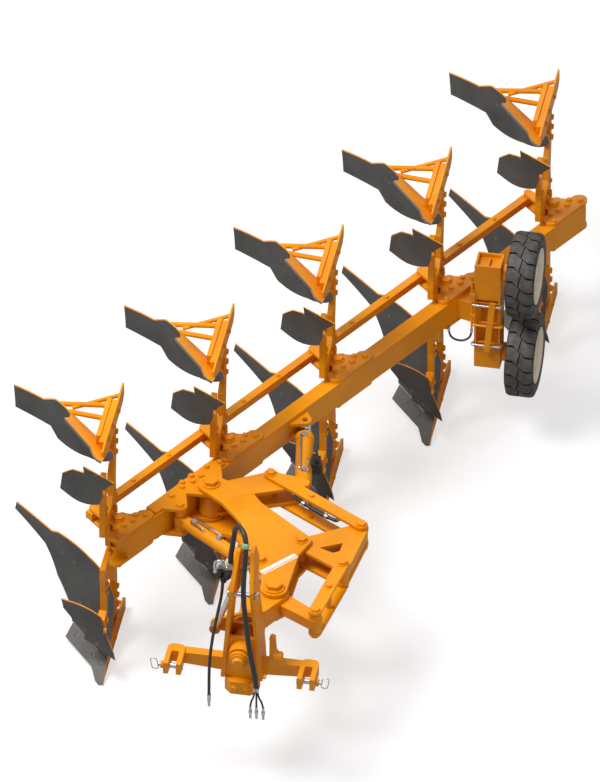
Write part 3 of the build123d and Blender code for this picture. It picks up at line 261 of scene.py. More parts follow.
# by the start of a CAD node's name; all the others are painted
NODE_MATERIALS = {
    "mouldboards": BOARD, "shares": SHARE, "tyre": TYRE, "rim": RIM, "hitch_pins": ZINC,
    "width_cylinder_rod": CHROME, "offset_cylinder_rod": CHROME, "turnover_cylinder_rod": CHROME,
    "valve_block": ZINC, "hose_couplers": ZINC,
}
for name, node in frame["nodes"].items():
    chosen = next((m for key, m in NODE_MATERIALS.items() if name.startswith(key)), PAINT)
    node.data.materials.clear()
    node.data.materials.append(chosen)


# ================================================================ mesh helpers
SHARP_ANGLE = radians(38)


def finish_piece(name, mesh, body, material):
    """Makes a piece of a bmesh and lets it ride on a body."""
    data = bpy.data.meshes.new(name)
    bmesh.ops.recalc_face_normals(mesh, faces=mesh.faces)
    mesh.to_mesh(data)
    mesh.free()
    data.materials.append(material)
    piece = bpy.data.objects.new(name, data)
    bpy.context.scene.collection.objects.link(piece)
    data.shade_smooth()
    data.set_sharp_from_angle(angle=SHARP_ANGLE)
    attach(piece, body)
    return piece


def turned(direction, place, spin=0.0):
    """A matrix that stands a shape, made along +Z, at a place and along a direction."""
    stand = direction.to_track_quat("Z", "Y").to_matrix().to_4x4()
    return Matrix.Translation(place) @ stand @ Matrix.Rotation(spin, 4, "Z")


def add_lathe(mesh, profile, matrix, sides):
    """Turns a profile of (radius, height) round +Z; a radius of 0 closes it."""
    rings = []
    for radius, height in profile:
        if radius <= 0:
            rings.append([mesh.verts.new(matrix @ Vector((0, 0, height)))])
        else:
            turns = [2 * pi * i / sides for i in range(sides)]
            rings.append([
                mesh.verts.new(matrix @ Vector((radius * cos(turn), radius * sin(turn), height)))
                for turn in turns
            ])
    for a, b in zip(rings, rings[1:]):
        for i in range(sides):
            j = (i + 1) % sides
            corners = [a[i % len(a)], a[j % len(a)], b[j % len(b)], b[i % len(b)]]
            corners = list(dict.fromkeys(corners))
            if len(corners) > 2:
                mesh.faces.new(corners)


def collar(start, end, inner, outer):
    """The closed profile of a ring or tube piece."""
    return [(inner, start), (outer, start), (outer, end), (inner, end), (inner, start)]


def add_prism(mesh, outline, low, high, matrix):
    """Pushes an outline of (x, y) from one height to another."""
    bottom = [mesh.verts.new(matrix @ Vector((x, y, low))) for x, y in outline]
    top = [mesh.verts.new(matrix @ Vector((x, y, high))) for x, y in outline]
    mesh.faces.new(bottom[::-1])
    mesh.faces.new(top)
    for i in range(len(outline)):
        j = (i + 1) % len(outline)
        mesh.faces.new((bottom[i], bottom[j], top[j], top[i]))


# a bolt's head: heights in shares of its width over the flats, radii in shares of half of it
HEAD_HEIGHT, HEAD_SHOULDER = 0.42, 0.85
WASHER_HEIGHT, WASHER_EDGE = 0.12, 0.7
WASHER_RADIUS, WASHER_TOP = 1.45, 1.36
HEX_CORNER, HEX_TOP = 1.1547, 0.88


def add_bolt(mesh, place, direction, across):
    """A hexagon head with rounded corners on a washer; across is its width over the flats."""
    half = across / 2
    matrix = turned(direction, place, (place.x * 37 + place.y * 91) % 1.0)      # no two heads stand alike
    height = across * HEAD_HEIGHT
    start = across * WASHER_HEIGHT
    washer = [
        (0, 0), (half * WASHER_RADIUS, 0), (half * WASHER_RADIUS, start * WASHER_EDGE),
        (half * WASHER_TOP, start), (0, start),
    ]
    add_lathe(mesh, washer, matrix, 18)
    corner = half * HEX_CORNER
    hexagon = [(corner * cos(pi / 3 * i), corner * sin(pi / 3 * i)) for i in range(6)]
    inner = [(x * HEX_TOP, y * HEX_TOP) for x, y in hexagon]
    low = [mesh.verts.new(matrix @ Vector((x, y, start))) for x, y in hexagon]
    high = [mesh.verts.new(matrix @ Vector((x, y, start + height * HEAD_SHOULDER))) for x, y in hexagon]
    top = [mesh.verts.new(matrix @ Vector((x, y, start + height))) for x, y in inner]
    for a, b in ((low, high), (high, top)):
        for i in range(6):
            j = (i + 1) % 6
            mesh.faces.new((a[i], a[j], b[j], b[i]))
    mesh.faces.new(top)


def bolt_set(name, body, rows):
    """Painted bolt heads in one piece; each row is (place, direction, width over the flats)."""
    mesh = bmesh.new()
    for place, direction, across in rows:
        add_bolt(mesh, place, direction, across)
    finish_piece(name, mesh, body, PAINT)


def both_sides(place, height):
    """The same place above and below the middle plane, with the way out of each face."""
    for side in (1, -1):
        yield Vector((place.x, place.y, MID + side * height)), UP * side


def add_tube(mesh, points, radius, sides=10):
    """A round bar through points, mitred at its corners."""
    rings = []
    normal = None
    for i, point in enumerate(points):
        before = (point - points[i - 1]).normalized() if i else None
        after = (points[i + 1] - point).normalized() if i < len(points) - 1 else None
        way = (before + after).normalized() if before and after else (before or after)
        if normal is None:
            normal = way.orthogonal().normalized()
        normal = (normal - way * normal.dot(way)).normalized()
        side = way.cross(normal)
        turns = [2 * pi * k / sides for k in range(sides)]
        rings.append([
            mesh.verts.new(point + (normal * cos(turn) + side * sin(turn)) * radius) for turn in turns
        ])
    for a, b in zip(rings, rings[1:]):
        for k in range(sides):
            j = (k + 1) % sides
            mesh.faces.new((a[k], a[j], b[j], b[k]))
    mesh.faces.new(rings[0][::-1])
    mesh.faces.new(rings[-1])


def rounded(points, radius, steps=5):
    """A path through points with its corners rounded."""
    path = [points[0]]
    for before, corner, after in zip(points, points[1:], points[2:]):
        a, b = (before - corner).normalized(), (after - corner).normalized()
        reach = min(radius, (before - corner).length * 0.45, (after - corner).length * 0.45)
        start, end = corner + a * reach, corner + b * reach
        for i in range(steps + 1):
            t = i / steps
            path.append(start * (1 - t) ** 2 + corner * 2 * t * (1 - t) + end * t ** 2)
    path.append(points[-1])
    return path


def surface(node, start, way):
    """Where a line meets a CAD node, and the surface's direction there."""
    hit, place, normal, _ = frame["nodes"][node].ray_cast(start, way)
    return (place, normal) if hit else None


# ================================================================ stage
FLOOR_HALF = 60               # metres from the middle to the floor's edge
FLOOR_GREY, FLOOR_ROUGHNESS, FLOOR_SPECULAR = 0.42, 0.9, 0.1
FLOOR_GLOW = 0.60             # how much of the floor's white is its own, so that the paint doesn't tint it
WORLD_STRENGTH = 0.36
# name: (place in metres from the object's centre, size, power)
LAMPS = {
    "key": ((-4.8, -3.0, 12.0), 5.0, 1750),
    "fill": ((7.0, -5.0, 4.0), 6.0, 120),
    "back": ((1.0, 8.0, 6.0), 6.0, 120),
}
VIEW_AZIMUTH, VIEW_ELEVATION = radians(10.5), radians(39.0)
VIEW_CENTRE = (-113, 2749, 0)
VIEW_HEIGHT = 5.078           # metres of the middle plane that the picture's height spans
VIEW_LENS = 1000.0            # a very long lens, because the object is seen almost without perspective
SENSOR = 36.0


def make_stage():
    mesh = bmesh.new()
    signs = [(-1, -1), (1, -1), (1, 1), (-1, 1)]
    mesh.faces.new([mesh.verts.new((x * FLOOR_HALF, y * FLOOR_HALF, cad_box[0].z)) for x, y in signs])
    data = bpy.data.meshes.new("floor")
    mesh.to_mesh(data)
    mesh.free()
    material, nodes, links, bsdf = new_material("floor")
    bsdf.inputs["Base Color"].default_value = (FLOOR_GREY, FLOOR_GREY, FLOOR_GREY, 1)
    bsdf.inputs["Roughness"].default_value = FLOOR_ROUGHNESS
    bsdf.inputs["Specular IOR Level"].default_value = FLOOR_SPECULAR
    bsdf.inputs["Emission Color"].default_value = (*WHITE, 1)
    seen = nodes.new("ShaderNodeLightPath")
    glow = math_node(nodes, "MULTIPLY", FLOOR_GLOW)
    links.new(seen.outputs["Is Camera Ray"], glow.inputs[0])
    links.new(glow.outputs[0], bsdf.inputs["Emission Strength"])
    data.materials.append(material)
    floor = bpy.data.objects.new("floor", data)
    bpy.context.scene.collection.objects.link(floor)


def area_lamp(name, place, target, size, power):
    data = bpy.data.lights.new(name, "AREA")
    data.size = size
    data.energy = power
    lamp = bpy.data.objects.new(name, data)
    lamp.location = place
    lamp.rotation_mode = "QUATERNION"
    lamp.rotation_quaternion = (target - place).to_track_quat("-Z", "Y")
    bpy.context.scene.collection.objects.link(lamp)


def make_light():
    world = bpy.data.worlds.new("studio")
    world.use_nodes = True
    background = world.node_tree.nodes["Background"]
    background.inputs["Color"].default_value = (*WHITE, 1)
    background.inputs["Strength"].default_value = WORLD_STRENGTH
    bpy.context.scene.world = world
    centre = (cad_box[0] + cad_box[1]) / 2
    for name, (place, size, power) in LAMPS.items():
        area_lamp(name, centre + Vector(place), centre, size, power)


def make_camera():
    data = bpy.data.cameras.new("camera")
    data.lens = VIEW_LENS
    data.sensor_width = SENSOR
    distance = VIEW_HEIGHT / 2 / (SENSOR / 2 / VIEW_LENS)
    data.clip_end = distance * 2
    level = cos(VIEW_ELEVATION)
    back = Vector((sin(VIEW_AZIMUTH) * level, -cos(VIEW_AZIMUTH) * level, sin(VIEW_ELEVATION)))
    camera = bpy.data.objects.new("camera", data)
    camera.location = from_axis(*VIEW_CENTRE) + back * distance
    camera.rotation_mode = "QUATERNION"
    camera.rotation_quaternion = (-back).to_track_quat("-Z", "Y")
    bpy.context.scene.collection.objects.link(camera)
    bpy.context.scene.camera = camera


make_stage()
make_light()
make_camera()
bpy.context.scene.view_settings.view_transform = "Standard"


# ================================================================ free hoses
# name: (body, width, length, far end, stiffness, route); millimetres, the route from the turnover axis
HOSES = {
    "hose_bundle": ("headstock", 34, 1655, "fitting", "limp", [
        (-100, 243, 552.3), (-100, 243, 640), (-86, 262, 740), (-74, 262, 850), (-50, 226, 912),
        (-12, 168, 940), (22, 112, 922), (34, 76, 850), (26, 46, 690), (22, 22, 500), (46, -4, 310),
        (74, -40, 110), (112, -60, -60), (122, -60, -170),
    ]),
    "hose_left": ("headstock", 20, 883, "connector", "medium", [
        (-150, 243, 479.7), (-150, 243, 350), (-172, 160, 210), (-190, 80, 70), (-198, 22, -80),
        (-194, -14, -225), (-194, -14, -345),
    ]),
    "hose_wheel": ("beam", 14, 301, "object", "medium", [
        (848, 3706, -95.3), (848, 3706, -150), (820, 3703, -189), (774, 3699, -204), (728, 3695, -189),
        (700, 3692, -150), (700, 3692, -90.3),
    ]),
    "hose_tail_1": ("headstock", 13, 196, "connector", "medium", [
        (113, -66, -170.3), (113, -66, -232), (84, -63, -302), (84, -63, -362),
    ]),
    "hose_tail_2": ("headstock", 13, 192, "connector", "medium", [
        (122, -51, -170.3), (122, -51, -232), (124, -63, -302), (124, -63, -362),
    ]),
    "hose_tail_3": ("headstock", 13, 199, "connector", "medium", [
        (131, -66, -170.3), (131, -66, -232), (168, -63, -302), (168, -63, -362),
    ]),
}
FERRULE = 0.034               # length of a ferrule
# its profile: share of the hose's radius, share of the ferrule's length
FERRULE_STEPS = [
    (0, 0), (1.30, 0), (1.34, 0.12), (1.22, 0.30), (1.30, 0.42), (1.22, 0.60), (1.27, 0.74), (1.04, 1),
    (0, 1),
]


def ferrules(name, body, ends):
    """Crimped sleeves at the ends of hoses; each end is (place, way along the hose, hose radius)."""
    mesh = bmesh.new()
    for place, way, radius in ends:
        profile = [(radius * wide, FERRULE * far) for wide, far in FERRULE_STEPS]
        add_lathe(mesh, profile, turned(way, place), 16)
    return finish_piece(name, mesh, body, ZINC)


def free_hose(name, body, width, length, far_end, stiffness, route):
    """A cord of one spline through the route's points, with its ferrules."""
    points = [from_axis(*p) for p in route]
    radius = width / 2000
    curve = bpy.data.curves.new(name, "CURVE")
    curve.dimensions = "3D"
    curve.bevel_depth = radius
    curve.bevel_resolution = 5
    curve.use_fill_caps = True
    line = curve.splines.new("NURBS")
    line.points.add(len(points) - 1)
    for knot, place in zip(line.points, points):
        knot.co = (*place, 1)
    line.order_u = 3
    line.use_endpoint_u = True
    line.resolution_u = 10
    curve.materials.append(HOSE)
    piece = bpy.data.objects.new(name + "_line", curve)
    bpy.context.scene.collection.objects.link(piece)
    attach(piece, body)
    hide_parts(name)
    ends = [(points[0], (points[1] - points[0]).normalized(), radius)]
    if far_end != "fitting":
        way = (points[-1] - points[-2]).normalized()
        ends.append((points[-1] - way * FERRULE, way, radius))
    on_it = [ferrules(name + "_ferrules", body, ends)]
    if far_end == "connector":
        on_it.append("hose_couplers")


for name, facts in HOSES.items():
    free_hose(name, *facts)


# ================================================================ bolts on the beam and the control bar
# (along, beside) in millimetres: body bolts from each leg's hinge, front bolts from the first
BODY_BOLTS = [(-143, -125), (-100, -60), (-36, -75), (41, -85), (92, -58), (135, -115)]
FRONT_BOLTS = [
    (394, -108), (502, -101), (539, -70), (629, -70), (591, -112), (669, -120), (763, -82), (854, -115),
]
BAR_BOLTS = (0.36, 0.68)       # share of the way from one body to the next
BODY_BOLT, FRONT_BOLT, BAR_BOLT = 0.030, 0.032, 0.024      # widths over the flats
PROBE = 400                    # mm from the middle plane, from where the faces are looked for


def face_bolts(nodes, place, across):
    """Rows for a bolt head above and one below a place, on the first of the nodes that is met there."""
    rows = []
    for side in (1, -1):
        start = place + UP * side * PROBE / 1000
        found = next((hit for hit in (surface(node, start, UP * -side) for node in nodes) if hit), None)
        if found:
            rows.append((found[0], UP * side, across))
    return rows


def beam_bolts():
    rows = []
    for leg in LEGS:
        start = (leg - LEGS[0]).length * 1000
        for along, beside in BODY_BOLTS:
            rows += face_bolts(("body_brackets", "beam"), on_beam(start + along, beside), BODY_BOLT)
    for along, beside in FRONT_BOLTS:
        rows += face_bolts(("front_bracket",), on_beam(along, beside), FRONT_BOLT)
    bolt_set("bracket_bolts", "beam", rows)
    rows = []
    spacing = (LEGS[1] - LEGS[0]).length
    for span in range(len(LEGS) - 1):
        for share in BAR_BOLTS:
            rows += face_bolts(("control_bar",), BAR_FIRST + ALONG * spacing * (span + share), BAR_BOLT)
    bolt_set("control_bar_bolts", "control_bar", rows)


beam_bolts()


# ================================================================ wheels
TREAD_BLOCKS = 18
GROOVE = 0.017            # depth of the tread
BLOCK_GAP = 0.013         # width of the cross grooves
SPLIT_GAP = 0.007         # width of the groove between the two rows of blocks
SPLIT_LEAN = 0.008        # how far that groove leans to each side over one block
FLAT_SHARE = 0.45         # share of the half width up to which the cross grooves slant
SLANT = 0.34              # how far they move round over that share, in blocks
BLOCK_STEPS = 5
BLOCK_ROOT = 0.001        # how far a block's walls reach below the groove
BLOCK_WALL = 0.004        # their least height
BEAD_GAP = 0.002          # between the rim and the tyre's bead
GROOVE_BAND = 0.008       # the carcass this close to its outer radius is the grooves' floor, darkened as painted shade
CARCASS_SIDES = 72
# a block from the middle to the shoulder: distance in from the tyre's side, depth below the tread
SHOULDER = [(0.030, 0.0), (0.010, 0.008), (0.002, 0.030)]


def carcass_profile(bead, carcass, half):
    """The tyre without its tread as (radius, place across), from one bead to the other and back inside."""
    wall = [
        (bead, 0.022), (bead + 0.010, 0.006), (bead + 0.030, 0.001), (bead + 0.058, 0),
        (carcass - 0.022, 0.006), (carcass - 0.006, 0.018), (carcass, 0.036),
    ]
    profile = [(r, -half + inset) for r, inset in wall] + [(r, half - inset) for r, inset in reversed(wall)]
    return profile + profile[:1]


def tyre(side):
    """Carcass and tread: two rows of blocks between slanted cross grooves, whose floors and walls get a
    darker rubber as painted shade.
    """
    centre = WHEELS[side]
    low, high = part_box(f"tyre_{side}")
    radius = (high.z - low.z) / 2
    half = (high.x - low.x) / 2
    rim_low, rim_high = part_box(f"rim_{side}")
    bead = (rim_high.z - rim_low.z) / 2 + BEAD_GAP
    carcass = radius - GROOVE
    matrix = turned(RIGHT, centre)
    mesh = bmesh.new()
    add_lathe(mesh, carcass_profile(bead, carcass, half), matrix, CARCASS_SIDES)
    # the grooves' floor takes the second material, the painted shade
    for face in mesh.faces:
        if all((vert.co - centre).yz.length > carcass - GROOVE_BAND for vert in face.verts):
            face.material_index = 1
    pitch = 2 * pi / TREAD_BLOCKS

    def point(across, turn, depth):
        """A place on the tread: across the tyre, round it and below its outer radius."""
        r = radius - depth
        return matrix @ Vector((r * cos(turn), r * sin(turn), across))

    front = min((i * pitch for i in range(TREAD_BLOCKS)), key=lambda turn: point(0, turn, 0).y)
    rising = 1 if point(0, front + 0.1, 0).z > point(0, front, 0).z else -1

    def groove_shift(across):
        """How far round a groove has moved at a distance across: level at both shoulders, slanted between."""
        share = max(-1.0, min(1.0, across / half / FLAT_SHARE))
        return -rising * pitch * SLANT * share

    places = [(SPLIT_LEAN, 0.0), (half * FLAT_SHARE, 0.0)]
    places += [(half - inset, depth) for inset, depth in SHOULDER]
    gap = BLOCK_GAP / radius / 2
    for hand in (1, -1):
        for block in range(TREAD_BLOCKS):
            outer, inner = [], []
            for i, (reach, depth) in enumerate(places):
                across = hand * reach if i else 0.0
                start = pitch * block + groove_shift(across) + gap
                line_out, line_in = [], []
                for step in range(BLOCK_STEPS + 1):
                    share = step / BLOCK_STEPS
                    turn = start + (pitch - 2 * gap) * share
                    x = across if i else hand * SPLIT_GAP / 2 + rising * SPLIT_LEAN * (2 * share - 1)
                    line_out.append(mesh.verts.new(point(x, turn, depth)))
                    root = max(GROOVE + BLOCK_ROOT, depth + BLOCK_WALL)
                    line_in.append(mesh.verts.new(point(x, turn, root)))
                outer.append(line_out)
                inner.append(line_in)
            for i in range(len(places) - 1):
                a, b = outer[i], outer[i + 1]
                for step in range(BLOCK_STEPS):
                    mesh.faces.new((a[step], a[step + 1], b[step + 1], b[step]))
                # the walls of the cross grooves and of the middle groove take the painted shade too
                for end in (0, -1):
                    wall = mesh.faces.new((a[end], b[end], inner[i + 1][end], inner[i][end]))
                    wall.material_index = 1
            for row in (0, -1):
                a, b = outer[row], inner[row]
                for step in range(BLOCK_STEPS):
                    wall = mesh.faces.new((a[step], b[step], b[step + 1], a[step + 1]))
                    wall.material_index = 0 if row else 1
    piece = finish_piece(f"tread_{side}", mesh, f"wheel_{side}", TYRE)
    piece.data.materials.append(GROOVE_SHADE_RUBBER)
    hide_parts(f"tyre_{side}")


for side in ("upper", "lower"):
    tyre(side)


# ================================================================ small parts on the plough bodies
TIP_TO_HINGE = (28, 472)      # mm from a body's share tip to its hinge, in plan


def on_body(k, x, y, z):
    """A place in millimetres: from body k's share tip in plan, and from the middle plane in height."""
    across, back = (x - TIP_TO_HINGE[0]) / 1000, (y - TIP_TO_HINGE[1]) / 1000
    return Vector((LEGS[k].x + across, LEGS[k].y + back, MID + z / 1000))


# bolts on a body's right side: x, y, z of the head's seat and width over the flats, in millimetres
SIDE_BOLTS = [
    (-17, 275, -290, 30), (-17, 275, -350, 30), (-11, 222, -540, 30), (-11, 160, -575, 30),
    (-17, 605, -560, 34), (-17, 612, -640, 34), (-17, 612, -720, 34), (-2, 640, -868, 26),
    (-2, 470, -880, 26), (-2, 330, -884, 26), (-17, 470, -160, 26), (-17, 600, -200, 26),
]
# bosses on the hinge casting: x, y, lowest and highest z, radius
HINGE_BOSSES = [(-4, 534, 126, 168, 13), (-6, 560, 96, 132, 11)]
# the round brace behind each board, and the two short tubes beside it: places on the lower body
BRACE_FRONT, BRACE_REAR, BRACE_RADIUS = (-330, 792, -722), (-20, 800, -868), 0.014
BRACE_TUBES, TUBE_RADIUS, TUBE_HALF = [(-70, 640, -790), (-70, 668, -880)], 0.024, 0.03
# flush bolts in share and board, seen from the front: x and z
SHARE_BOLTS = [(-40, -872), (-110, -872), (-180, -872), (-250, -872)]
BOARD_BOLTS = [(-60, -800), (-60, -700), (-150, -640), (-260, -760), (-330, -560), (-420, -560)]
FLUSH_HEAD = [(0, 0.0012), (0.010, 0.0012), (0.0125, 0.0004), (0.0125, -0.004)]
BOARD_PROBE = -600             # y in front of the boards, from where their faces are looked for


def on_both(k, x, y, z):
    """The same place on the lower and the upper body of a pair."""
    return [on_body(k, x, y, z * side) for side in (1, -1)]


def body_details(k):
    rows = [(place, RIGHT, across / 1000) for *spot, across in SIDE_BOLTS for place in on_both(k, *spot)]
    bolt_set(f"body_bolts_{k + 1}", f"carrier_{k + 1}", rows)
    bosses = bmesh.new()
    for x, y, low, high, radius in HINGE_BOSSES:
        for side, place in zip((1, -1), on_both(k, x, y, low)):
            r = radius / 1000
            add_lathe(bosses, collar(0, (high - low) / 1000, r * 0.5, r), turned(UP * side, place), 16)
    finish_piece(f"hinge_bosses_{k + 1}", bosses, f"carrier_{k + 1}", PAINT)
    braces = bmesh.new()
    for ends in zip(on_both(k, *BRACE_FRONT), on_both(k, *BRACE_REAR)):
        add_tube(braces, ends, BRACE_RADIUS, 12)
    tube = [(0, -TUBE_HALF), (TUBE_RADIUS, -TUBE_HALF), (TUBE_RADIUS, TUBE_HALF), (0, TUBE_HALF)]
    for spot in BRACE_TUBES:
        for place in on_both(k, *spot):
            add_lathe(braces, tube, turned(RIGHT, place), 16)
    finish_piece(f"body_braces_{k + 1}", braces, f"carrier_{k + 1}", PAINT)
    plough_bolts(k)


def plough_bolts(k):
    """Flush bolt heads in the share and the board, found on their surfaces from the front."""
    mesh = bmesh.new()
    for node, spots in ((f"shares_{k + 1}", SHARE_BOLTS), (f"mouldboards_{k + 1}", BOARD_BOLTS)):
        for x, z in spots:
            for start in on_both(k, x, BOARD_PROBE, z):
                found = surface(node, start, REARWARD)
                if found:
                    add_lathe(mesh, FLUSH_HEAD, turned(found[1], found[0]), 14)
    finish_piece(f"plough_bolts_{k + 1}", mesh, f"carrier_{k + 1}", BOLT_STEEL)


for k in range(len(LEGS)):
    body_details(k)


# ================================================================ headstock
RING_WIRE = 0.0035


def wire_loop(mesh, place, wide, tall, width, height):
    """A bent wire ring, rounded and longer than wide."""
    wide, tall = wide.normalized() * width / 2, tall.normalized() * height / 2
    corners = [
        place - wide, place - wide + tall, place + wide + tall, place + wide - tall, place - wide - tall,
        place - wide,
    ]
    add_tube(mesh, rounded(corners, width * 0.4), RING_WIRE, 8)


# in millimetres; profiles and the sizes of rings in metres
CLEVIS_IN, CLEVIS_OUT = 409.4, 460.6          # inner faces of the two ears, from the middle of the crossbar
CLEVIS_WALL = 32
CLEVIS_FRONT, CLEVIS_REAR, CLEVIS_FLOOR = -20, 186, 114
CLEVIS_HEIGHTS = (-176, -90)
CLEVIS_BEND, SLOT_BEND = 44, 16
PIN_Y, PIN_Z = 25, -140
COLLAR_START, COLLAR_END = 492, 516
PIN_RING, PIN_RING_SIZE, PIN_RING_LEAN = (556, 22, -138), (0.042, 0.082), 0.16
PIN_COLLAR = [(0, 0), (0.022, 0), (0.025, 0.006), (0.025, 0.020), (0.020, 0.024), (0, 0.024)]
PIN_TIP = [(0, 0), (0.014, 0), (0.014, 0.016), (0.010, 0.020), (0, 0.020)]


def clevises():
    """Bent forks at both ends of the crossbar, with the collar, tip and wire ring of their pins."""
    forks, metal = bmesh.new(), bmesh.new()
    a, b = CLEVIS_IN - CLEVIS_WALL, CLEVIS_OUT + CLEVIS_WALL
    outer = [(a, CLEVIS_FRONT), (a, CLEVIS_REAR), (b, CLEVIS_REAR), (b, CLEVIS_FRONT)]
    inner = [
        (CLEVIS_IN, CLEVIS_FRONT), (CLEVIS_IN, CLEVIS_FLOOR),
        (CLEVIS_OUT, CLEVIS_FLOOR), (CLEVIS_OUT, CLEVIS_FRONT),
    ]
    loops = [
        rounded([Vector((*p, 0)) for p in path], bend, 6)
        for path, bend in ((outer, CLEVIS_BEND), (inner, SLOT_BEND))
    ]
    for side in (1, -1):
        low_out, low_in, high_out, high_in = (
            [forks.verts.new(from_axis(side * p.x, p.y, height)) for p in loop]
            for height in CLEVIS_HEIGHTS for loop in loops
        )
        for near, far in ((low_out, low_in), (high_out, high_in), (low_out, high_out), (low_in, high_in)):
            for i in range(len(near) - 1):
                forks.faces.new((near[i], near[i + 1], far[i + 1], far[i]))
        for i in (0, -1):
            forks.faces.new((low_out[i], low_in[i], high_in[i], high_out[i]))
        way = RIGHT * side
        add_lathe(forks, PIN_COLLAR, turned(way, from_axis(side * COLLAR_START, PIN_Y, PIN_Z)), 24)
        add_lathe(metal, PIN_TIP, turned(way, from_axis(side * COLLAR_END, PIN_Y, PIN_Z)), 18)
        x, y, z = PIN_RING
        wire_loop(metal, from_axis(side * x, y, z), way, Vector((side * PIN_RING_LEAN, 0, 1)), *PIN_RING_SIZE)
    finish_piece("clevises", forks, "headstock", PAINT)
    finish_piece("clevis_rings", metal, "headstock", ZINC)


MAST_RING, MAST_RING_SIZE = (96, 112, 424), (0.040, 0.088)
MAST_RING_WIDE, MAST_RING_TALL = Vector((0.9, -0.2, 0)), Vector((0.12, 0, 1))


def mast_ring():
    ring = bmesh.new()
    wire_loop(ring, from_axis(*MAST_RING), MAST_RING_WIDE, MAST_RING_TALL, *MAST_RING_SIZE)
    finish_piece("mast_ring", ring, "headstock", ZINC)


SPINDLE_END = (0, -22, 0)
SPINDLE_CAP = [
    (0, 0), (0.054, 0), (0.054, 0.008), (0.050, 0.012), (0.040, 0.012), (0.039, 0.034), (0.034, 0.040),
    (0, 0.040),
]


def spindle_boss():
    """The stepped cap on the front end of the turnover spindle."""
    boss = bmesh.new()
    add_lathe(boss, SPINDLE_CAP, turned(FORWARD, from_axis(*SPINDLE_END)), 36)
    finish_piece("spindle_boss", boss, "turn_frame", PAINT)


# x, y, z in millimetres, and width over the flats in metres
FOOT_BOLTS = [(-42, 40, -281, 0.034), (42, 40, -281, 0.034), (-92, 118, -150, 0.030), (92, 118, -150, 0.030)]
LEVER_OUTLINE = [                     # x and z of the lever's plate
    (176, -112), (244, -112), (254, -60), (240, 0), (224, 26), (218, 112), (208, 134), (190, 134), (180, 114),
    (178, 20),
]
LEVER_Y, LEVER_HALF = 112, 0.010      # where the plate stands, and half its thickness
LEVER_EYE, LEVER_BOSS = (198, LEVER_Y, 112), (206, LEVER_Y, -34)
EYE_PROFILE = [(0, -0.024), (0.017, -0.024), (0.020, -0.018), (0.020, 0.018), (0, 0.018)]
BOSS_PROFILE = [(0, 0), (0.034, 0), (0.034, 0.050), (0.026, 0.058), (0, 0.058)]


def mast_lever():
    """The lever to the right of the mast: a plate with an eye at its top and a boss at its foot."""
    lever = bmesh.new()
    upright = Matrix.Translation(from_axis(0, LEVER_Y, 0)) @ Matrix.Rotation(pi / 2, 4, "X")
    add_prism(lever, [(x / 1000, z / 1000) for x, z in LEVER_OUTLINE], -LEVER_HALF, LEVER_HALF, upright)
    add_lathe(lever, EYE_PROFILE, turned(FORWARD, from_axis(*LEVER_EYE)), 20)
    add_lathe(lever, BOSS_PROFILE, turned(RIGHT, from_axis(*LEVER_BOSS)), 24)
    finish_piece("mast_lever", lever, "headstock", PAINT)


CLAMP_PLACE, CLAMP_WAY = (27.5, 88, 868), Vector((0.05, 0.42, 0.9))
CLAMP_PROFILE = [
    (0.0175, -0.018), (0.023, -0.018), (0.025, -0.013), (0.025, 0.013), (0.023, 0.018), (0.0175, 0.018),
]


def bundle_clamp():
    """The green clamp round the hose bundle near its highest point."""
    clamp = bmesh.new()
    add_lathe(clamp, CLAMP_PROFILE, turned(CLAMP_WAY, from_axis(*CLAMP_PLACE)), 22)
    finish_piece("bundle_clamp", clamp, "headstock", CLAMP)


# the valve block's screw caps, side plugs, bent pipe and coils, in millimetres; profiles in metres
CAPS = [(-152, 228, 552), (-152, 258, 552), (-108, 228, 552), (-108, 258, 552)]
PLUGS = [(-176, 240, 500), (-176, 240, 534)]
VALVE_PIPE = [(-170, 236, 540), (-196, 226, 540), (-196, 212, 606), (-160, 208, 622), (-128, 214, 560)]
VALVE_PIPE_RADIUS, VALVE_PIPE_BEND = 0.009, 0.024
COILS = [(-132, 212, 496), (-164, 212, 528), (-106, 212, 528)]
CAP = [(0, 0), (0.013, 0), (0.013, 0.010), (0.009, 0.014), (0.009, 0.030), (0, 0.032)]
PLUG = [(0, 0), (0.014, 0), (0.014, 0.016), (0.011, 0.018), (0.011, 0.034), (0, 0.036)]
COIL = [(0, 0), (0.020, 0), (0.022, 0.004), (0.022, 0.046), (0.014, 0.052), (0.014, 0.064), (0, 0.066)]


def valve_details():
    caps, coils = bmesh.new(), bmesh.new()
    for mesh, places, way, profile, sides in (
        (caps, CAPS, UP, CAP, 14), (caps, PLUGS, -RIGHT, PLUG, 14), (coils, COILS, FORWARD, COIL, 18),
    ):
        for place in places:
            add_lathe(mesh, profile, turned(way, from_axis(*place)), sides)
    add_tube(caps, rounded([from_axis(*place) for place in VALVE_PIPE], VALVE_PIPE_BEND), VALVE_PIPE_RADIUS)
    finish_piece("valve_caps", caps, "headstock", CHROME)
    finish_piece("valve_coils", coils, "headstock", DARK_STEEL)


def headstock_details():
    clevises()
    mast_ring()
    spindle_boss()
    rows = [(from_axis(*place), FORWARD, across) for *place, across in FOOT_BOLTS]
    bolt_set("foot_bolts", "headstock", rows)
    mast_lever()
    bundle_clamp()
    valve_details()


headstock_details()


# ================================================================ linkage and cylinders
# a painted highlight on the main arm's plate, where the plate bends
HIGHLIGHT_START, HIGHLIGHT_END = (6, 757, 0), (192, 974, 0)
HIGHLIGHT_EDGES = ((-0.022, -0.014), (-0.006, 0.024))       # the thin and the broad line of the painted highlight, across their way
HIGHLIGHT_FACE, HIGHLIGHT_TOP = 0.1002, 0.1010                 # from the middle plane


def left_of(way):
    """The level direction to the left of a way."""
    return Vector((-way.y, way.x, 0))


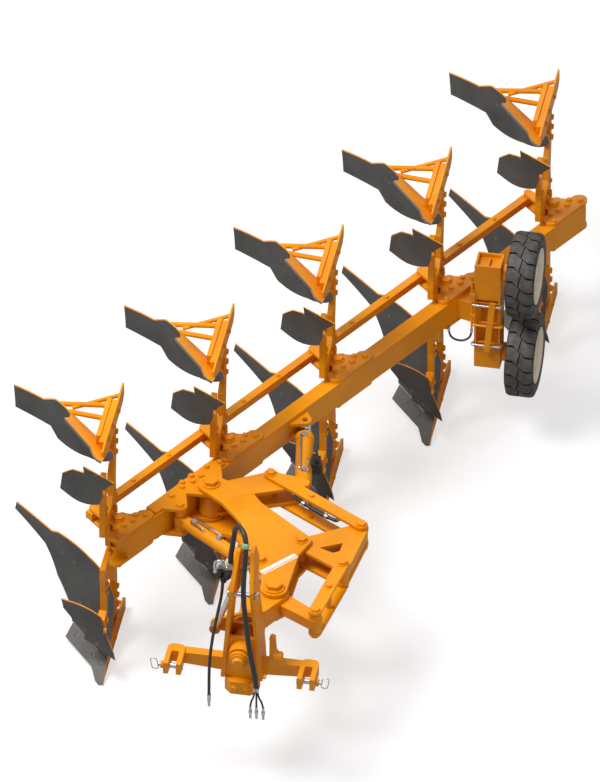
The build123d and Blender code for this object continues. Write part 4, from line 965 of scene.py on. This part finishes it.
def bend_highlights():
    """A broad and a thin white line across the main arm's plate, above and below: a painted highlight on the
    plate's bend.
    """
    start, end = from_axis(*HIGHLIGHT_START), from_axis(*HIGHLIGHT_END)
    side = left_of((end - start).normalized())
    mesh = bmesh.new()
    for face in (1, -1):
        for a, b in HIGHLIGHT_EDGES:
            corners = (start + side * a, end + side * a, end + side * b, start + side * b)
            outline = [(corner.x, corner.y) for corner in corners]
            add_prism(mesh, outline, face * HIGHLIGHT_FACE, face * HIGHLIGHT_TOP, Matrix.Translation(UP * MID))
    finish_piece("arm_bend_highlights", mesh, "main_arm", BEND_HIGHLIGHT)


PIPE_SHIFTS = (-0.35, 0.35)          # turn from straight up of the two pipes on a barrel, in radians
PIPE_SINK, PIPE_LIFT, PIPE_RADIUS, PIPE_BEND = 0.002, 0.022, 0.0065, 0.012
SHORT_PIPE, SECOND_START = 0.12, 0.02     # length of the first pipe, and how much later the second starts
PORT_SINK, PORT_SHIFT = 0.006, 0.01
PORT = [(0, 0), (0.018, 0), (0.018, 0.022), (0.013, 0.030), (0, 0.030)]


def cylinder_dress(name, body, tail, eye, radius, span):
    """Oil pipes along a barrel with their end blocks; span is their start and end in metres from the tail."""
    way = (eye - tail).normalized()
    side = left_of(way)
    pipes, ports = bmesh.new(), bmesh.new()
    first, last = span
    spans = ((first, first + SHORT_PIPE), (first + SECOND_START, last))
    for shift, (start, end) in zip(PIPE_SHIFTS, spans):
        out = UP * cos(shift) + side * sin(shift)
        a, b = (tail + way * place + out * (radius - PIPE_SINK) for place in (start, end))
        lift = out * PIPE_LIFT
        add_tube(pipes, rounded([a, a + lift, b + lift, b], PIPE_BEND), PIPE_RADIUS, 8)
    for place in (first + PORT_SHIFT, last):
        add_lathe(ports, PORT, turned(UP, tail + way * place + UP * (radius - PORT_SINK)), 16)
    finish_piece(f"{name}_pipes", pipes, body, CHROME)
    finish_piece(f"{name}_ports", ports, body, ZINC)


LINE_RADIUS, LINE_BEND = 0.0125, 0.10
# share of the way to the long link's front pin, metres towards the main arm and above the middle plane
LINE_ROUTE = [
    (0.27, 0.014, 0.080), (0.29, 0.032, 0.046), (0.45, 0.050, 0.050),
    (0.66, 0.050, 0.050), (0.77, 0.034, 0.046), (0.79, 0.014, 0.080),
]
CLIPS = [(0.42, 0.048, 0.050), (0.67, 0.048, 0.050)]
CLIP_ARM = [(0, 0.014), (0.010, 0.022), (0.022, 0.034)]       # outwards and up from a clip's middle
CLIP_ARM_RADIUS = 0.007
CLIP_PROFILE = collar(-0.012, 0.012, 0.0120, 0.0165)


def link_line():
    """The oil line that runs in two clips below the long link's upper plate."""
    way = (LONG_FRONT - LONG_REAR).normalized()
    inward = -left_of(way)

    def at(share, aside, height):
        place = LONG_REAR.lerp(LONG_FRONT, share) + inward * aside
        return Vector((place.x, place.y, MID + height))

    run = [at(*place) for place in LINE_ROUTE]
    line = bmesh.new()
    add_tube(line, rounded(run, LINE_BEND), LINE_RADIUS)
    finish_piece("link_line", line, "long_link", HOSE)
    ferrules("link_line_ends", "long_link", [
        (end, (after - end).normalized(), LINE_RADIUS)
        for end, after in ((run[0], run[1]), (run[-1], run[-2]))
    ])
    clips = bmesh.new()
    for place in CLIPS:
        middle = at(*place)
        add_lathe(clips, CLIP_PROFILE, turned(way, middle), 20)
        add_tube(clips, [middle + UP * up - inward * out for out, up in CLIP_ARM], CLIP_ARM_RADIUS, 8)
    finish_piece("link_clips", clips, "long_link", ZINC)


ROD_PIN = (-25, 885)                 # the offset cylinder's rod pin in the main arm, x and y
ARM_FACE, LINK_FACE = 0.100, 0.095   # faces of the main arm and of the links, from the middle plane
PIN_HEAD, SPACER_HEAD = 0.058, 0.030
# front pin, rear pin and share of the way at which a link's spacer is
SPACERS = {"short_link": (SHORT_FRONT, SHORT_REAR, 0.5), "long_link": (LONG_FRONT, LONG_REAR, 0.55)}
WIDTH_REAR = on_beam(1599, -203)     # the width cylinder's rear pin
# a barrel's radius, and the start and end of its pipes from the tail
OFFSET_BARREL, WIDTH_BARREL = (0.045, (0.12, 0.36)), (0.055, (0.13, 0.50))
VALVE_ALONG, VALVE_ASIDE = 0.26, 0.082
VALVE_BOX = [(-0.05, -0.028), (0.05, -0.028), (0.05, 0.030), (-0.05, 0.030)]
VALVE_LOW, VALVE_HIGH = -0.035, 0.040
# the two plugs on the valve: place along it, and profile
VALVE_PLUGS = [
    (-0.02, [(0, 0), (0.016, 0), (0.016, 0.040), (0.011, 0.046), (0, 0.046)]),
    (0.025, [(0, 0), (0.013, 0), (0.013, 0.030), (0, 0.030)]),
]


def width_valve():
    """The valve on the right side of the width cylinder's barrel, with two plugs on top."""
    way = (WIDTH_REAR - WIDTH_FRONT).normalized()
    side = left_of(way)
    block = bmesh.new()
    stand = Matrix.Translation(WIDTH_FRONT + way * VALVE_ALONG - side * VALVE_ASIDE) @ Matrix((
        (way.x, side.x, 0, 0), (way.y, side.y, 0, 0), (0, 0, 1, 0), (0, 0, 0, 1)))
    add_prism(block, VALVE_BOX, VALVE_LOW, VALVE_HIGH, stand)
    for along, profile in VALVE_PLUGS:
        add_lathe(block, profile, stand @ Matrix.Translation((along, 0, VALVE_HIGH)), 16)
    finish_piece("width_valve", block, "width_barrel", DARK_STEEL)


def linkage_details():
    bend_highlights()
    link_line()
    rod_end = from_axis(*ROD_PIN, 0)
    rows = [(place, way, PIN_HEAD) for place, way in both_sides(rod_end, ARM_FACE)]
    bolt_set("arm_bolts", "main_arm", rows)
    for name, (front, rear, share) in SPACERS.items():
        rows = [(place, way, SPACER_HEAD) for place, way in both_sides(front.lerp(rear, share), LINK_FACE)]
        bolt_set(f"{name}_bolts", name, rows)
    cylinder_dress("offset_cylinder", "offset_barrel", OFFSET_REAR, rod_end, *OFFSET_BARREL)
    cylinder_dress("width_cylinder", "width_barrel", WIDTH_FRONT, WIDTH_REAR, *WIDTH_BARREL)
    width_valve()


linkage_details()


# ================================================================ wheel support and hubs
# millimetres from the turnover axis: the column's three bent bars, the leaning strip in front of them and
# the divider in the column's mouth; sections, bends and leans in metres and radians
BAR_LEFT, BAR_RIGHT, BAR_BACK, BAR_FACE = 852, 1044, 3722, 3702
BAR_HEIGHTS, MIDDLE_BAR = (105, -225), -60
BAR_RADIUS, BAR_BEND = 0.009, 0.014
STRIP, STRIP_LEAN, STRIP_HALF = (968, 3694, -60), 0.09, 0.205
STRIP_SECTION = [(-0.020, -0.006), (0.020, -0.006), (0.020, 0.006), (-0.020, 0.006)]
DIVIDER = (948, 3722)
DIVIDER_SECTION = [(-0.005, 0.012), (0.005, 0.012), (0.005, 0.110), (-0.005, 0.110)]
DIVIDER_LOW, DIVIDER_HIGH = -0.090, -0.006        # from the column's top
# wheel nuts: how many, radius of their circle, seat from the wheel's middle, width over the flats
NUTS, NUT_CIRCLE, NUT_SEAT, NUT = 8, 0.076, 0.026, 0.020


def column_details():
    """Bent bars on the wheel column's face, the leaning strip and the divider; the middle bar is painted."""
    bars, strut = bmesh.new(), bmesh.new()
    for mesh, height in ((bars, BAR_HEIGHTS[0]), (strut, MIDDLE_BAR), (bars, BAR_HEIGHTS[1])):
        ends = [
            from_axis(BAR_LEFT, BAR_BACK, height), from_axis(BAR_LEFT, BAR_FACE, height),
            from_axis(BAR_RIGHT, BAR_FACE, height), from_axis(BAR_RIGHT, BAR_BACK, height),
        ]
        add_tube(mesh, rounded(ends, BAR_BEND), BAR_RADIUS)
    finish_piece("column_bars", bars, "beam", ZINC)
    lean = Matrix.Translation(from_axis(*STRIP)) @ Matrix.Rotation(STRIP_LEAN, 4, "Y")
    add_prism(strut, STRIP_SECTION, -STRIP_HALF, STRIP_HALF, lean)
    mouth = from_axis(*DIVIDER, 0)
    mouth.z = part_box("wheel_support")[1].z
    add_prism(strut, DIVIDER_SECTION, DIVIDER_LOW, DIVIDER_HIGH, Matrix.Translation(mouth))
    finish_piece("column_strut", strut, "beam", PAINT)


def wheel_details():
    column_details()
    for side, place in WHEELS.items():
        nuts = bmesh.new()
        for i in range(NUTS):
            turn = 2 * pi * i / NUTS
            spot = Vector((NUT_SEAT, NUT_CIRCLE * cos(turn), NUT_CIRCLE * sin(turn)))
            add_bolt(nuts, place + spot, RIGHT, NUT)
        finish_piece(f"wheel_nuts_{side}", nuts, f"wheel_{side}", ZINC)


wheel_details()
